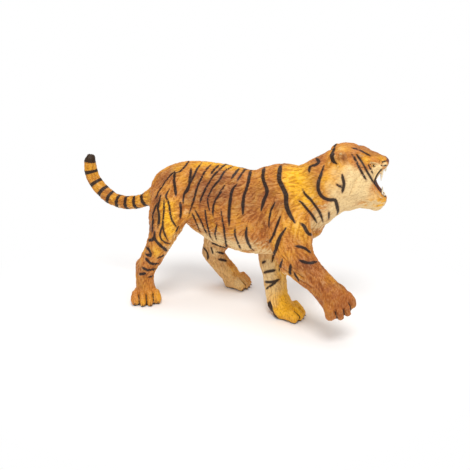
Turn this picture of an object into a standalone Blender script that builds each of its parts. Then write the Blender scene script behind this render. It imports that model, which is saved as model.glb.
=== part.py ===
"""Walking, roaring tiger figurine, moulded in one piece of plastic.

It faces +X and its left side is +Y. The fleshy forms are lofts and ellipsoids, melted together,
carved, thinned to flat facets and joined with sharp teeth and claws. Sizes are in millimetres.
"""

import math

import bmesh
import bpy
import numpy as np
from mathutils import Matrix, Vector
from mathutils.bvhtree import BVHTree

MM = 0.001

# Whole figurine: the drawing below is stretched to these
LENGTH = 147.4
WIDTH = 52.0
HEIGHT = 80.8

# Torso: heights above the ground and half widths
RUMP_TOP = 68.4
BACK_TOP = 66.0
WITHERS_TOP = 70.4
BELLY_LOW = 27.8
GROIN_LOW = 35.0
CHEST_LOW = 31.5
RUMP_HALF_WIDTH = 12.0
WAIST_HALF_WIDTH = 11.6
CHEST_HALF_WIDTH = 13.8
NECK_HALF_WIDTH = 11.4
NECK_DEPTH = 25.6

# Head, turned a little to its left
HEAD_PLACE = (48.5, 5.8, 70.9)
HEAD_TURN = 12.0
FOREHEAD_HALF_WIDTH = 7.6
CHEEK_HALF_WIDTH = 11.2
MUZZLE_HALF_WIDTH = 5.2
JAW_HALF_WIDTH = 4.6
FANG_LENGTH = 4.4
FANG_RADIUS = 0.85
EAR_HEIGHT = 9.0
EYE_RADIUS = 1.35

# Tail
TAIL_RADIUS = 3.3

# Creases between the limbs and the trunk: x and height along each, on the right (-1) and left (1)
CREASE_RADIUS = 1.3
CREASE_LIFT = 0.5
CREASES = {
    -1: (
        ((17.2, 54.0), (15.2, 47.5), (15.4, 40.0)),
        ((30.4, 55.0), (34.4, 49.0), (37.4, 42.5)),
        ((-18.5, 57.0), (-20.6, 51.5), (-22.6, 45.5)),
    ),
    1: (
        ((12.4, 54.0), (10.4, 47.5), (8.0, 41.0)),
        ((31.0, 56.0), (29.6, 48.5), (26.0, 41.5)),
        ((-14.5, 55.0), (-13.6, 48.5), (-12.6, 42.5)),
    ),
}

# Paws
PAW_HALF_WIDTH = 6.4
TOE_RADIUS = 1.85
CLAW_LENGTH = 1.3

# Fineness of the finished surface
MELT_VOXEL = 0.45
HEAD_VOXEL = 0.5
SMOOTHING = 0.5
PAW_EASE = 2
BODY_EASE = 16
BODY_TRIANGLES = 9600
FINE_WEIGHT = 0.5
FINE_SHARE = 0.0014
SHARP_EDGE = math.radians(50)

FUR_ORANGE = (0.52, 0.20, 0.03, 1.0)
FUR_ROUGHNESS = 0.55


def clear_scene():
    for old in list(bpy.data.objects):
        bpy.data.objects.remove(old, do_unlink=True)


def new_collection(name):
    made = bpy.data.collections.new(name)
    bpy.context.scene.collection.children.link(made)
    return made


def smooth_stations(stations, steps):
    """Catmull-Rom values between the given rows."""
    rows = [np.array(row, float) for row in stations]
    rows = [2 * rows[0] - rows[1], *rows, 2 * rows[-1] - rows[-2]]
    found = []
    for a, b, c, d in zip(rows, rows[1:], rows[2:], rows[3:]):
        for k in range(steps):
            t = k / steps
            found.append(
                0.5 * (2 * b + (c - a) * t + (2 * a - 5 * b + 4 * c - d) * t**2
                       + (3 * b - 3 * c + d - a) * t**3)
            )
    found.append(rows[-2])
    return found


def loft(form, stations, steps=4, sides=24, square=2.2, narrow=0.0, side=(0, 1, 0)):
    """Adds a closed tube with rounded ends. A station is x, y, z, half width, half depth.

    A section is a rounded square of the given power, narrower by a share towards its top.
    """
    rows = smooth_stations(stations, steps)
    points = [Vector(row[:3]) for row in rows]
    side = Vector(side)
    rings = []
    last = len(rows) - 1
    for i, row in enumerate(rows):
        ahead = (points[min(i + 1, last)] - points[max(i - 1, 0)]).normalized()
        across = (side - ahead * side.dot(ahead)).normalized()
        rings.append((points[i], ahead, across, ahead.cross(across), row[3], row[4]))

    def dome(end, sign):
        place, ahead, across, up, width, depth = end
        bulge = min(width, depth) * 0.8
        return [
            (place + ahead * sign * bulge * math.sin(a), ahead, across, up,
             width * math.cos(a), depth * math.cos(a))
            for a in (0.45, 0.9, 1.3)
        ]

    rings = dome(rings[0], -1)[::-1] + rings + dome(rings[-1], 1)
    loops = []
    for place, _, across, up, width, depth in rings:
        loop = []
        for k in range(sides):
            angle = 2 * math.pi * k / sides
            c, s = math.cos(angle), math.sin(angle)
            w = math.copysign(abs(c) ** (2 / square), c) * width
            h = math.copysign(abs(s) ** (2 / square), s) * depth
            w *= 1 - narrow * max(-s, 0)
            loop.append(form.verts.new(place + across * w + up * h))
        loops.append(loop)
    for one, two in zip(loops, loops[1:]):
        for k in range(sides):
            j = (k + 1) % sides
            form.faces.new((one[k], one[j], two[j], two[k]))
    form.faces.new(loops[0][::-1])
    form.faces.new(loops[-1])


def turned(yaw=0.0, pitch=0.0, roll=0.0):
    """Turn in degrees: yaw to the left, pitch nose up, roll to the right."""
    return (
        Matrix.Rotation(math.radians(yaw), 4, "Z")
        @ Matrix.Rotation(math.radians(-pitch), 4, "Y")
        @ Matrix.Rotation(math.radians(roll), 4, "X")
    )


def blob(form, centre, radii, turn=None, frame=None):
    """Adds an ellipsoid."""
    place = Matrix.Translation(centre) @ (turn or Matrix()) @ Matrix.Diagonal((*radii, 1))
    bmesh.ops.create_icosphere(
        form, subdivisions=3, radius=1.0, matrix=(frame or Matrix()) @ place
    )


def spike(form, root, tip, radius, frame=None, sides=8):
    """Adds a pointed cone, sunk a little at its root."""
    root, tip = Vector(root), Vector(tip)
    if frame:
        root, tip = frame @ root, frame @ tip
    ahead = tip - root
    turn = ahead.to_track_quat("Z", "Y").to_matrix().to_4x4()
    bmesh.ops.create_cone(
        form, cap_ends=True, segments=sides, radius1=radius, radius2=radius * 0.12,
        depth=ahead.length, matrix=Matrix.Translation((root + tip) / 2) @ turn,
    )


def new_form(build, *args):
    """A bmesh of closed shapes as an object in metres."""
    form = bmesh.new()
    build(form, *args)
    bmesh.ops.recalc_face_normals(form, faces=form.faces)
    bmesh.ops.scale(form, vec=(MM, MM, MM), verts=form.verts)
    mesh = bpy.data.meshes.new(build.__name__)
    form.to_mesh(mesh)
    form.free()
    made = bpy.data.objects.new(build.__name__, mesh)
    bpy.context.scene.collection.objects.link(made)
    return made


def torso(form):
    # x, underside, top, half width
    rows = (
        (-45.5, 42.5, 53.0, 4.6),
        (-41.5, 40.0, RUMP_TOP - 10.8, 7.2),
        (-36.0, 39.0, RUMP_TOP - 5.2, 9.8),
        (-27.0, 38.6, RUMP_TOP - 1.0, RUMP_HALF_WIDTH),
        (-17.0, GROIN_LOW - 1.6, RUMP_TOP, WAIST_HALF_WIDTH),
        (-8.0, BELLY_LOW + 1.6, BACK_TOP + 1.6, WAIST_HALF_WIDTH + 0.8),
        (2.0, BELLY_LOW, BACK_TOP, CHEST_HALF_WIDTH - 0.4),
        (11.0, BELLY_LOW + 0.6, BACK_TOP + 0.7, CHEST_HALF_WIDTH),
        (20.0, CHEST_LOW, WITHERS_TOP, CHEST_HALF_WIDTH - 1.0),
        (27.0, CHEST_LOW + 2.0, WITHERS_TOP - 0.6, CHEST_HALF_WIDTH - 2.4),
        (32.0, CHEST_LOW + 7.0, WITHERS_TOP - 4.0, CHEST_HALF_WIDTH - 4.4),
    )
    loft(
        form, [(x, 0, (low + top) / 2, width, (top - low) / 2) for x, low, top, width in rows],
        narrow=0.3,
    )
    # shoulder blades, ribs, hips and breast
    for y in (-1, 1):
        blob(form, (21.0, 5.2 * y, 58.6), (6.4, 4.4, 11.6), turned(pitch=14))
        blob(form, (25.4, 8.4 * y, 50.0), (9.0, 5.4, 14.5), turned(pitch=20))
        blob(form, (3.0, 6.0 * y, 47.0), (17.0, 8.6, 14.0))
        blob(form, (-28.8, 7.4 * y, 52.4), (8.8, 5.8, 10.4), turned(pitch=-12))
        blob(form, (26.5, 5.0 * y, 45.0), (6.6, 6.0, 9.0))


def neck(form):
    depth = NECK_DEPTH / 2
    width = NECK_HALF_WIDTH
    loft(form, (
        (22.0, 0.0, 53.0, width + 1.0, depth + 3.0),
        (28.5, 0.2, 55.4, width + 0.8, depth + 2.2),
        (35.0, 1.0, 59.6, width, depth + 0.6),
        (40.0, 2.2, 63.4, width - 0.8, depth),
        (45.5, 4.0, 67.6, width - 1.8, depth - 0.8),
    ), narrow=0.15)


def tail(form):
    r = TAIL_RADIUS
    loft(form, (
        (-40.5, 0, 52.5, r + 1.6, r + 2.0),
        (-46.5, 0, 48.6, r + 0.4, r + 0.6),
        (-52.0, 0, 45.8, r, r),
        (-58.5, 0, 44.0, r, r),
        (-66.0, 0, 43.9, r, r),
        (-72.8, 0, 46.5, r, r),
        (-78.0, 0, 50.9, r, r),
        (-81.0, 0, 56.2, r * 0.97, r * 0.97),
        (-81.6, 0, 61.2, r * 0.92, r * 0.92),
        (-81.0, 0, 64.2, r * 0.8, r * 0.8),
    ), square=2.0, sides=16)


def near_hind_leg(form):
    """The right hind leg, stretched back."""
    loft(form, (
        (-26.5, -6.5, 55.5, 4.6, 8.4),
        (-29.4, -9.8, 50.0, 6.2, 10.4),
        (-31.6, -12.0, 43.5, 6.6, 9.3),
        (-33.3, -13.4, 36.0, 5.9, 6.7),
        (-36.8, -13.8, 28.5, 5.0, 5.4),
        (-40.6, -13.6, 22.0, 4.4, 4.9),
        (-43.8, -13.2, 16.5, 4.2, 4.6),
        (-44.9, -12.8, 11.0, 4.0, 4.2),
        (-44.8, -12.4, 6.0, 4.6, 4.4),
    ))
    blob(form, (-46.6, -13.2, 17.6), (2.6, 2.8, 3.6))
    blob(form, (-29.0, -12.0, 40.5), (4.8, 4.2, 5.6), turned(pitch=30))


def far_hind_leg(form):
    """The left hind leg, stepping forward."""
    loft(form, (
        (-27.0, 6.5, 53.0, 4.8, 8.6),
        (-24.4, 10.0, 45.5, 6.4, 10.2),
        (-20.0, 12.2, 36.5, 6.2, 9.2),
        (-18.0, 13.6, 28.8, 5.6, 7.6),
        (-20.8, 14.8, 22.2, 4.8, 6.0),
        (-22.0, 15.6, 18.0, 4.3, 5.2),
        (-19.4, 16.8, 13.6, 4.2, 4.9),
        (-15.6, 18.4, 8.8, 4.4, 4.8),
        (-13.2, 19.2, 5.6, 4.6, 4.2),
    ))
    blob(form, (-25.2, 15.4, 19.2), (2.6, 3.0, 4.2), turned(pitch=-20))


def near_foreleg(form):
    """The right foreleg, lifted and reaching forward."""
    loft(form, (
        (22.0, -5.0, 62.0, 3.4, 5.2),
        (24.4, -8.6, 53.5, 4.8, 8.0),
        (27.0, -11.4, 45.0, 5.8, 9.8),
        (29.8, -13.8, 37.8, 6.2, 9.0),
        (33.0, -15.2, 33.2, 6.2, 7.5),
        (37.4, -16.4, 29.9, 5.9, 6.3),
        (42.4, -17.2, 26.4, 5.6, 5.5),
        (46.8, -18.0, 23.0, 5.6, 5.5),
        (50.0, -18.6, 19.6, 5.9, 5.5),
    ))
    blob(form, (28.4, -14.6, 30.6), (4.2, 4.4, 4.6))


def far_foreleg(form):
    """The left foreleg, planted under the body."""
    loft(form, (
        (22.5, 5.0, 61.0, 3.4, 5.2),
        (22.0, 8.6, 52.5, 4.8, 8.2),
        (19.4, 10.6, 43.5, 5.8, 9.4),
        (15.0, 10.4, 34.0, 5.8, 7.8),
        (12.4, 8.0, 26.0, 5.4, 6.9),
        (14.6, 4.6, 18.5, 4.9, 5.7),
        (16.8, 1.6, 12.8, 4.8, 5.2),
        (18.6, -0.8, 8.8, 5.0, 4.9),
        (21.2, -1.8, 5.8, 5.2, 4.4),
    ))
    blob(form, (9.4, 9.0, 27.0), (3.6, 4.0, 4.4))


def flat_paw_frame(x, y, heading):
    return Matrix.Translation((x, y, 0)) @ turned(yaw=heading)


def lifted_paw_frame(x, y, z, forward, back_of_paw):
    """A paw held off the ground, given where its toes point and where its upper side looks."""
    u = Vector(forward).normalized()
    w = Vector(back_of_paw)
    w = (w - u * w.dot(u)).normalized()
    v = w.cross(u)
    turn = Matrix((u, v, w)).transposed().to_4x4()
    return Matrix.Translation((x, y, z)) @ turn


NEAR_HIND_PAW = flat_paw_frame(-44.6, -13.2, -56)
FAR_HIND_PAW = flat_paw_frame(-11.6, 20.0, 4)
FAR_FOREPAW = flat_paw_frame(24.2, -2.8, 4)
NEAR_FOREPAW = lifted_paw_frame(50.4, -18.4, 20.2, (0.56, -0.10, -0.82), (0.50, -0.74, 0.44))
SOLE_SINK = 0.5
PAWS = (
    (NEAR_HIND_PAW, 1.04, SOLE_SINK),
    (FAR_HIND_PAW, 0.92, SOLE_SINK),
    (FAR_FOREPAW, 0.98, SOLE_SINK),
    (NEAR_FOREPAW, 1.06, 2.6),
)
TOES = ((-1.5, 3.3), (-0.52, 5.0), (0.52, 5.0), (1.5, 3.3))


def toe_place(width, across, ahead):
    """Middle of a toe in its paw's own frame."""
    spread = PAW_HALF_WIDTH * width * 0.5
    return ahead * width, across * spread


def paws(form):
    for frame, width, sink in PAWS:
        half = PAW_HALF_WIDTH * width
        low = -sink
        blob(form, (-0.8, 0, 4.0 + low), (half, half * 0.88, 4.1), frame=frame)
        blob(form, (-1.6, 0, 1.7 + low), (half * 0.78, half * 0.74, 1.9), frame=frame)
        for across, ahead in TOES:
            u, v = toe_place(width, across, ahead)
            fan = turned(yaw=across * 7)
            thick = TOE_RADIUS * width
            knuckle = (u - 1.2, v, 4.0 + low)
            blob(form, knuckle, (3.6, thick, 2.9), fan, frame)
            toe_end = (u + 1.4, v * 1.06, 2.3 + low)
            blob(form, toe_end, (2.4, thick * 0.94, 2.2), fan, frame)


def claws(form):
    for frame, width, sink in PAWS:
        for across, ahead in TOES:
            u, v = toe_place(width, across, ahead)
            root = (u + 1.6, v * 1.07, 2.9 - sink)
            tip = (u + 2.6 + CLAW_LENGTH, v * 1.12, 1.3 - sink)
            spike(form, root, tip, 0.75, frame)


HEAD = Matrix.Translation(HEAD_PLACE) @ turned(yaw=HEAD_TURN)


def head(form):
    """Skull, muzzle, cheeks, brows and jaw, as one block before the mouth is cut."""
    f, c, m, j = FOREHEAD_HALF_WIDTH, CHEEK_HALF_WIDTH, MUZZLE_HALF_WIDTH, JAW_HALF_WIDTH
    skull = bmesh.new()
    loft(skull, (
        (-2.2, 0, -12.4, c - 2.6, 9.6),
        (-2.4, 0, -9.6, c - 1.0, 10.5),
        (-2.6, 0, -5.6, c - 0.4, 10.6),
        (-2.4, 0, -0.6, c - 1.4, 9.6),
        (-2.2, 0, 2.6, f + 0.8, 8.8),
        (-2.0, 0, 4.4, f - 0.6, 7.6),
    ))
    place_form(form, skull)
    muzzle = bmesh.new()
    loft(muzzle, (
        (1.0, 0, 2.3, f - 1.2, 5.6),
        (5.0, 0, 2.8, m + 0.7, 4.7),
        (8.6, 0, 2.3, m, 4.2),
        (11.2, 0, 1.8, m - 0.5, 3.5),
        (12.6, 0, 1.4, m - 1.3, 2.9),
    ), square=2.1)
    place_form(form, muzzle)
    for y in (-1, 1):
        whisker_pad = (10.2, 2.8 * y, 0.2)
        blob(form, whisker_pad, (4.0, m * 0.54, 3.0), turned(pitch=-8), HEAD)
        brow = (4.4, (f - 3.4) * y, 6.5)
        blob(form, brow, (3.6, 2.2, 1.4), turned(yaw=-10 * y, pitch=-20), HEAD)
        cheekbone = (4.8, (f - 2.4) * y, 1.0)
        blob(form, cheekbone, (5.0, 2.5, 2.4), turned(pitch=-26), HEAD)
        ruff = (-3.6, (c - 4.0) * y, -5.4)
        blob(form, ruff, (5.6, 4.6, 9.6), turned(yaw=20 * y, pitch=-12), HEAD)
    blob(form, (13.6, 0, 3.0), (1.5, 2.4, 1.5), turned(pitch=-20), HEAD)
    # lower jaw and chin
    jaw = bmesh.new()
    loft(jaw, (
        (-3.0, 0, -10.4, j + 3.2, 6.0),
        (2.0, 0, -12.2, j + 1.8, 5.2),
        (6.5, 0, -13.8, j + 0.4, 4.2),
        (10.2, 0, -15.0, j - 0.4, 3.2),
        (12.4, 0, -15.4, j - 1.4, 2.4),
    ), square=2.1)
    place_form(form, jaw)
    blob(form, (10.2, 0, -16.0), (3.6, 3.4, 2.8), turned(pitch=-14), HEAD)


def place_form(form, piece, frame=HEAD):
    """Moves a shape made in the head's frame into place and adds it."""
    bmesh.ops.transform(piece, matrix=frame, verts=piece.verts)
    loose = bpy.data.meshes.new("loose")
    piece.to_mesh(loose)
    piece.free()
    form.from_mesh(loose)
    bpy.data.meshes.remove(loose)


def ear_frame(y):
    """Middle of an ear, laid back, looking forward and out."""
    centre = Vector((-7.4, (FOREHEAD_HALF_WIDTH + 0.2) * y, 3.9))
    return HEAD @ Matrix.Translation(centre) @ turned(yaw=56 * y) @ turned(pitch=-14)


def ears(form):
    for y in (-1, 1):
        blob(form, (0, 0, 0), (1.8, 3.6, EAR_HEIGHT / 2), frame=ear_frame(y))


def ear_hollows(form):
    for y in (-1, 1):
        blob(form, (1.5, 0, 0.1), (1.6, 2.6, EAR_HEIGHT * 0.37), frame=ear_frame(y))


def eye_place(y):
    return Vector((5.6, (FOREHEAD_HALF_WIDTH - 2.9) * y, 4.5))


def eye_sockets(form):
    for y in (-1, 1):
        socket = eye_place(y) + Vector((0.9, 0.8 * y, 0))
        blob(form, socket, (2.3, 1.5, 1.25), turned(yaw=30 * y, pitch=-24), HEAD)


def eyes(form):
    for y in (-1, 1):
        blob(form, eye_place(y), (EYE_RADIUS, EYE_RADIUS, EYE_RADIUS), frame=HEAD)


def nostrils(form):
    for y in (-1, 1):
        blob(form, (15.0, 1.3 * y, 2.4), (1.0, 0.7, 0.6), turned(yaw=30 * y), HEAD)


def gape(form):
    """The open mouth, cut right across between the lips."""
    outline = (
        (17.0, -1.0), (13.4, -1.3), (11.9, -2.2), (10.8, -4.0), (10.1, -6.3), (9.9, -8.4),
        (10.7, -10.8), (12.2, -12.3), (13.8, -13.1), (17.0, -13.0),
    )
    sides = []
    for y in (-14.0, 14.0):
        sides.append([form.verts.new(HEAD @ Vector((u, y, w))) for u, w in outline])
    form.faces.new(sides[0])
    form.faces.new(sides[1][::-1])
    for k in range(len(outline)):
        j = (k + 1) % len(outline)
        form.faces.new((sides[0][k], sides[1][k], sides[1][j], sides[0][j]))


def mouth_hollow(form):
    blob(form, (8.0, 0, -6.8), (7.6, 3.9, 5.2), frame=HEAD)
    blob(form, (9.4, 0, -1.8), (4.6, 3.0, 2.2), turned(pitch=-6), HEAD)
    blob(form, (9.0, 0, -12.2), (4.6, 2.6, 2.0), turned(pitch=-14), HEAD)


def tongue(form):
    blob(form, (7.2, 0, -11.4), (5.6, 2.2, 1.4), turned(pitch=-20), HEAD)


def teeth(form):
    for y in (-1, 1):
        spike(form, (12.4, 2.9 * y, -0.6), (12.9, 3.0 * y, -1.2 - FANG_LENGTH), FANG_RADIUS, HEAD)
        spike(form, (10.2, 3.4 * y, -1.6), (10.5, 3.4 * y, -2.8 - FANG_LENGTH), FANG_RADIUS, HEAD)
        spike(form, (12.6, 2.5 * y, -14.4), (12.4, 2.6 * y, -14.6 + FANG_LENGTH), FANG_RADIUS, HEAD)
        for v in (0.55, 1.55):
            spike(form, (13.2, v * y, -0.8), (13.3, v * y, -2.9), 0.5, HEAD)
            spike(form, (13.2, v * y, -14.2), (13.3, v * y, -12.5), 0.45, HEAD)


def creases(form, body):
    """Slim shapes along the skin that dig the creases between the limbs and the trunk."""
    skin = BVHTree.FromObject(body, bpy.context.evaluated_depsgraph_get())
    for side, lines in CREASES.items():
        for line in lines:
            stations = []
            for x, z in line:
                start = Vector((x, side * WIDTH, z)) * MM
                touch = skin.ray_cast(start, Vector((0, -side, 0)))[0] / MM
                stations.append((x, touch.y + side * CREASE_LIFT, z, CREASE_RADIUS, CREASE_RADIUS))
            loft(form, stations, sides=10)


def ground(form):
    """What lies below the soles."""
    size = Matrix.Diagonal((2 * LENGTH, 2 * WIDTH, HEIGHT, 1))
    place = Matrix.Translation((0, 0, -HEIGHT / 2))
    bmesh.ops.create_cube(form, size=1.0, matrix=place @ size)


def apply_modifiers(target):
    bpy.context.view_layer.update()
    graph = bpy.context.evaluated_depsgraph_get()
    mesh = bpy.data.meshes.new_from_object(target.evaluated_get(graph))
    target.modifiers.clear()
    old = target.data
    target.data = mesh
    bpy.data.meshes.remove(old)


def join(target, *others):
    form = bmesh.new()
    form.from_mesh(target.data)
    for other in others:
        form.from_mesh(other.data)
        bpy.data.objects.remove(other, do_unlink=True)
    form.to_mesh(target.data)
    form.free()
    return target


def melt(target, voxel):
    """Makes one skin round all closed shapes of an object."""
    skin = target.modifiers.new("melt", "REMESH")
    skin.mode = "VOXEL"
    skin.voxel_size = voxel * MM
    apply_modifiers(target)


def mark_fine_parts(target):
    """A vertex group that is 1 on the head and the paws and 0 on the smooth rest."""
    fine = target.vertex_groups.new(name="fine")
    centres = [(HEAD @ Vector((3.0, 0, -3.0)), 15.0)]
    centres += [(frame @ Vector((1.5, 0, 2.0 - sink)), 8.5) for frame, _, sink in PAWS]
    for vertex in target.data.vertices:
        place = vertex.co / MM
        weight = max(min((reach - (place - at).length) / 4.0 + 0.5, 1.0) for at, reach in centres)
        if weight > 0:
            fine.add([vertex.index], weight * FINE_WEIGHT, "REPLACE")


def relax(target, factor, times, group=""):
    ease = target.modifiers.new("relax", "SMOOTH")
    ease.factor = factor
    ease.iterations = times
    ease.vertex_group = group
    ease.invert_vertex_group = bool(group)
    apply_modifiers(target)


def boolean(target, tool, operation, cutters, crossing=False):
    cut = target.modifiers.new(operation.lower(), "BOOLEAN")
    cut.operation = operation
    cut.object = tool
    cut.solver = "EXACT"
    cut.use_self = crossing
    apply_modifiers(target)
    bpy.context.scene.collection.objects.unlink(tool)
    cutters.objects.link(tool)
    tool.hide_render = True
    tool.display_type = "WIRE"


def stand_at_size(target):
    """Stretches the drawing to its real sizes and stands it over the origin, soles at height zero."""
    corners = [Vector(corner) for corner in target.bound_box]
    low = Vector([min(corner[i] for corner in corners) for i in range(3)])
    high = Vector([max(corner[i] for corner in corners) for i in range(3)])
    foot = Vector(((low.x + high.x) / 2, (low.y + high.y) / 2, low.z))
    stretch = [size * MM / (high - low)[i] for i, size in enumerate((LENGTH, WIDTH, HEIGHT))]
    target.data.transform(Matrix.Diagonal((*stretch, 1)) @ Matrix.Translation(-foot))


def painted_plastic():
    paint = bpy.data.materials.new("painted_plastic")
    paint.use_nodes = True
    shader = paint.node_tree.nodes["Principled BSDF"]
    shader.inputs["Base Color"].default_value = FUR_ORANGE
    shader.inputs["Roughness"].default_value = FUR_ROUGHNESS
    shader.inputs["Metallic"].default_value = 0.0
    return paint


def main():
    clear_scene()
    figurine = new_collection("tiger_figurine")
    cutters = new_collection("cutters")
    skull = join(new_form(head), new_form(ears))
    melt(skull, HEAD_VOXEL)
    hollows = join(
        new_form(gape), new_form(mouth_hollow), new_form(ear_hollows), new_form(eye_sockets),
        new_form(nostrils),
    )
    melt(hollows, HEAD_VOXEL)
    boolean(skull, hollows, "DIFFERENCE", cutters)
    body = join(
        new_form(torso), new_form(neck), new_form(tail), new_form(near_hind_leg),
        new_form(far_hind_leg), new_form(near_foreleg), new_form(far_foreleg),
        new_form(paws), new_form(tongue), new_form(eyes), skull,
    )
    melt(body, MELT_VOXEL)
    boolean(body, new_form(creases, body), "DIFFERENCE", cutters)
    mark_fine_parts(body)
    relax(body, SMOOTHING, PAW_EASE)
    relax(body, SMOOTHING, BODY_EASE, "fine")
    thin = body.modifiers.new("thin", "DECIMATE")
    thin.ratio = BODY_TRIANGLES / (2 * len(body.data.polygons))
    thin.vertex_group = "fine"
    thin.invert_vertex_group = True
    thin.vertex_group_factor = FINE_SHARE
    apply_modifiers(body)
    boolean(body, join(new_form(teeth), new_form(claws)), "UNION", cutters, crossing=True)
    boolean(body, new_form(ground), "DIFFERENCE", cutters)
    stand_at_size(body)
    body.data.materials.append(painted_plastic())
    body.data.shade_smooth()
    body.data.set_sharp_from_angle(angle=SHARP_EDGE)
    body.name = "tiger"
    bpy.context.scene.collection.objects.unlink(body)
    figurine.objects.link(body)


main()
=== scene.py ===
"""Painted plastic tiger figurine: carved and striped skin, eyes, teeth, mouth, nose and claws.

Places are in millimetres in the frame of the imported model: +X forward, +Y the tiger's left, +Z up.
Stripes on the visible flank are drawn by pixels of the 470 x 470 photograph, cast onto the skin.
"""

import itertools
import math

import bpy
import numpy as np
from mathutils import Matrix, Vector
from mathutils.bvhtree import BVHTree


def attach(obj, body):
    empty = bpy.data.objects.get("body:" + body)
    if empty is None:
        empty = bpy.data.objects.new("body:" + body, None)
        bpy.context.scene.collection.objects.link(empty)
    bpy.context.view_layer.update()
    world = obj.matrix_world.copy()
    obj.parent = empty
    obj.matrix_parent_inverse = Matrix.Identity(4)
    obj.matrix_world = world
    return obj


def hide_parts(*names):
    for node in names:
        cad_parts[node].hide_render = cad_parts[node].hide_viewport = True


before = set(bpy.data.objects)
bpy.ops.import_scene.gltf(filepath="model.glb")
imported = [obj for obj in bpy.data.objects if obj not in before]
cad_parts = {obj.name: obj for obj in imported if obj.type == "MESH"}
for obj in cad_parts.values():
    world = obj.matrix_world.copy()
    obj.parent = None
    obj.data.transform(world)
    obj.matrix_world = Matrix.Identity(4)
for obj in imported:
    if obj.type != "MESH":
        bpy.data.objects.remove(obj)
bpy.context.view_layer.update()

bl_info = {
    "name": "Tiger figurine",
    "version": (1, 0, 0),
    "blender": (4, 5, 0),
    "location": "3D View > Sidebar > Tiger",
    "description": "Carves and paints a moulded plastic tiger over its packed solid",
    "category": "Object",
}

MM = 0.001
SIDES = (-1, 1)

# The photograph's camera
PHOTO_SIZE = 470
PHOTO_AZIMUTH = math.radians(24.0)
PHOTO_ELEVATION = math.radians(19.0)
PHOTO_DISTANCE = 300.0
PHOTO_TARGET = Vector((9.96, -5.95, 37.05))
PHOTO_PIXELS_PER_MM = 2.218
PHOTO_FOCAL = PHOTO_PIXELS_PER_MM * PHOTO_DISTANCE
PHOTO_BACK = Vector((
    math.sin(PHOTO_AZIMUTH) * math.cos(PHOTO_ELEVATION),
    -math.cos(PHOTO_AZIMUTH) * math.cos(PHOTO_ELEVATION),
    math.sin(PHOTO_ELEVATION),
))
PHOTO_RIGHT = Vector((math.cos(PHOTO_AZIMUTH), math.sin(PHOTO_AZIMUTH), 0))
PHOTO_UP = PHOTO_BACK.cross(PHOTO_RIGHT)
PHOTO_EYE = PHOTO_TARGET + PHOTO_BACK * PHOTO_DISTANCE
SENSOR_WIDTH = 36.0

# Head, turned a little to its left: forward, left and up are measured from its middle
HEAD_PLACE = (59.1, 5.2, 70.9)
HEAD_TURN = 12.0


def turned(degrees):
    """A turn to the left."""
    return Matrix.Rotation(math.radians(degrees), 4, "Z")


HEAD = Matrix.Translation(HEAD_PLACE) @ turned(HEAD_TURN)


def in_frame(matrix, points):
    """Places given in a frame, in the model."""
    return [matrix @ Vector(point) for point in points]


def on_head(line, side):
    """A line given in the head, in the model on its right (-1) or left (1) half."""
    return in_frame(HEAD, [(u, v * side, w) for u, v, w in line])


def local_axes(matrix, points):
    """Coordinates of an array of points in a frame, one array for each axis."""
    inverse = np.array(matrix.inverted())
    return (points @ inverse[:3, :3].T + inverse[:3, 3]).T


def distance(points, place):
    """Distance of each point to one place."""
    return np.linalg.norm(points - np.array(place), axis=1)


def rise(values, start, end):
    """0 where the values haven't reached start, 1 where they are past end."""
    return np.clip((values - start) / (end - start), 0, 1)


def flat_paw(x, y, heading):
    """Frame of a paw on the ground, its toes pointing so many degrees to the left of straight ahead."""
    return Matrix.Translation((x, y, 0)) @ turned(heading)


def lifted_paw(place, forward, back_of_paw):
    """Frame of a paw off the ground, given where its toes point and where its upper side looks."""
    u = Vector(forward).normalized()
    w = Vector(back_of_paw)
    w = (w - u * w.dot(u)).normalized()
    v = w.cross(u)
    return Matrix.Translation(place) @ Matrix((u, v, w)).transposed().to_4x4()


# Frame, width factor and sink of each paw
NEAR_HIND_PAW = flat_paw(-33.8, -13.7, -56)
FAR_HIND_PAW = flat_paw(-0.9, 19.4, 4)
FAR_FOREPAW = flat_paw(34.9, -3.3, 4)
NEAR_FOREPAW = lifted_paw((61.0, -18.9, 20.2), (0.56, -0.10, -0.82), (0.50, -0.74, 0.44))
SOLE_SINK = 0.5
LIFTED_SINK = 2.6
PAWS = (
    (NEAR_HIND_PAW, 1.04, SOLE_SINK),
    (FAR_HIND_PAW, 0.92, SOLE_SINK),
    (FAR_FOREPAW, 0.98, SOLE_SINK),
    (NEAR_FOREPAW, 1.06, LIFTED_SINK),
)
# Each toe's place across, in steps of the spread, and ahead
TOES = ((-1.5, 3.3), (-0.52, 5.0), (0.52, 5.0), (1.5, 3.3))
TOE_SPREAD = 3.2
TOE_RADIUS = 2.2
HEEL = ((-7.0, 0.0, 9.0), (-7.6, 0.0, 6.6), (-6.6, 0.0, 4.0))
HEEL_RADIUS = 2.2


def toes():
    """Frame, width factor and sink of each toe's paw, and the toe's place ahead and across."""
    for paw, width, sink in PAWS:
        for across, ahead in TOES:
            yield paw, width, sink, ahead * width, across * TOE_SPREAD * width


def claw_lines():
    """Root and tip of every claw of the solid."""
    return [
        in_frame(paw, ((u + 1.6, v * 1.07, 2.9 - sink), (u + 3.9, v * 1.12, 1.3 - sink)))
        for paw, _, sink, u, v in toes()
    ]


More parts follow.
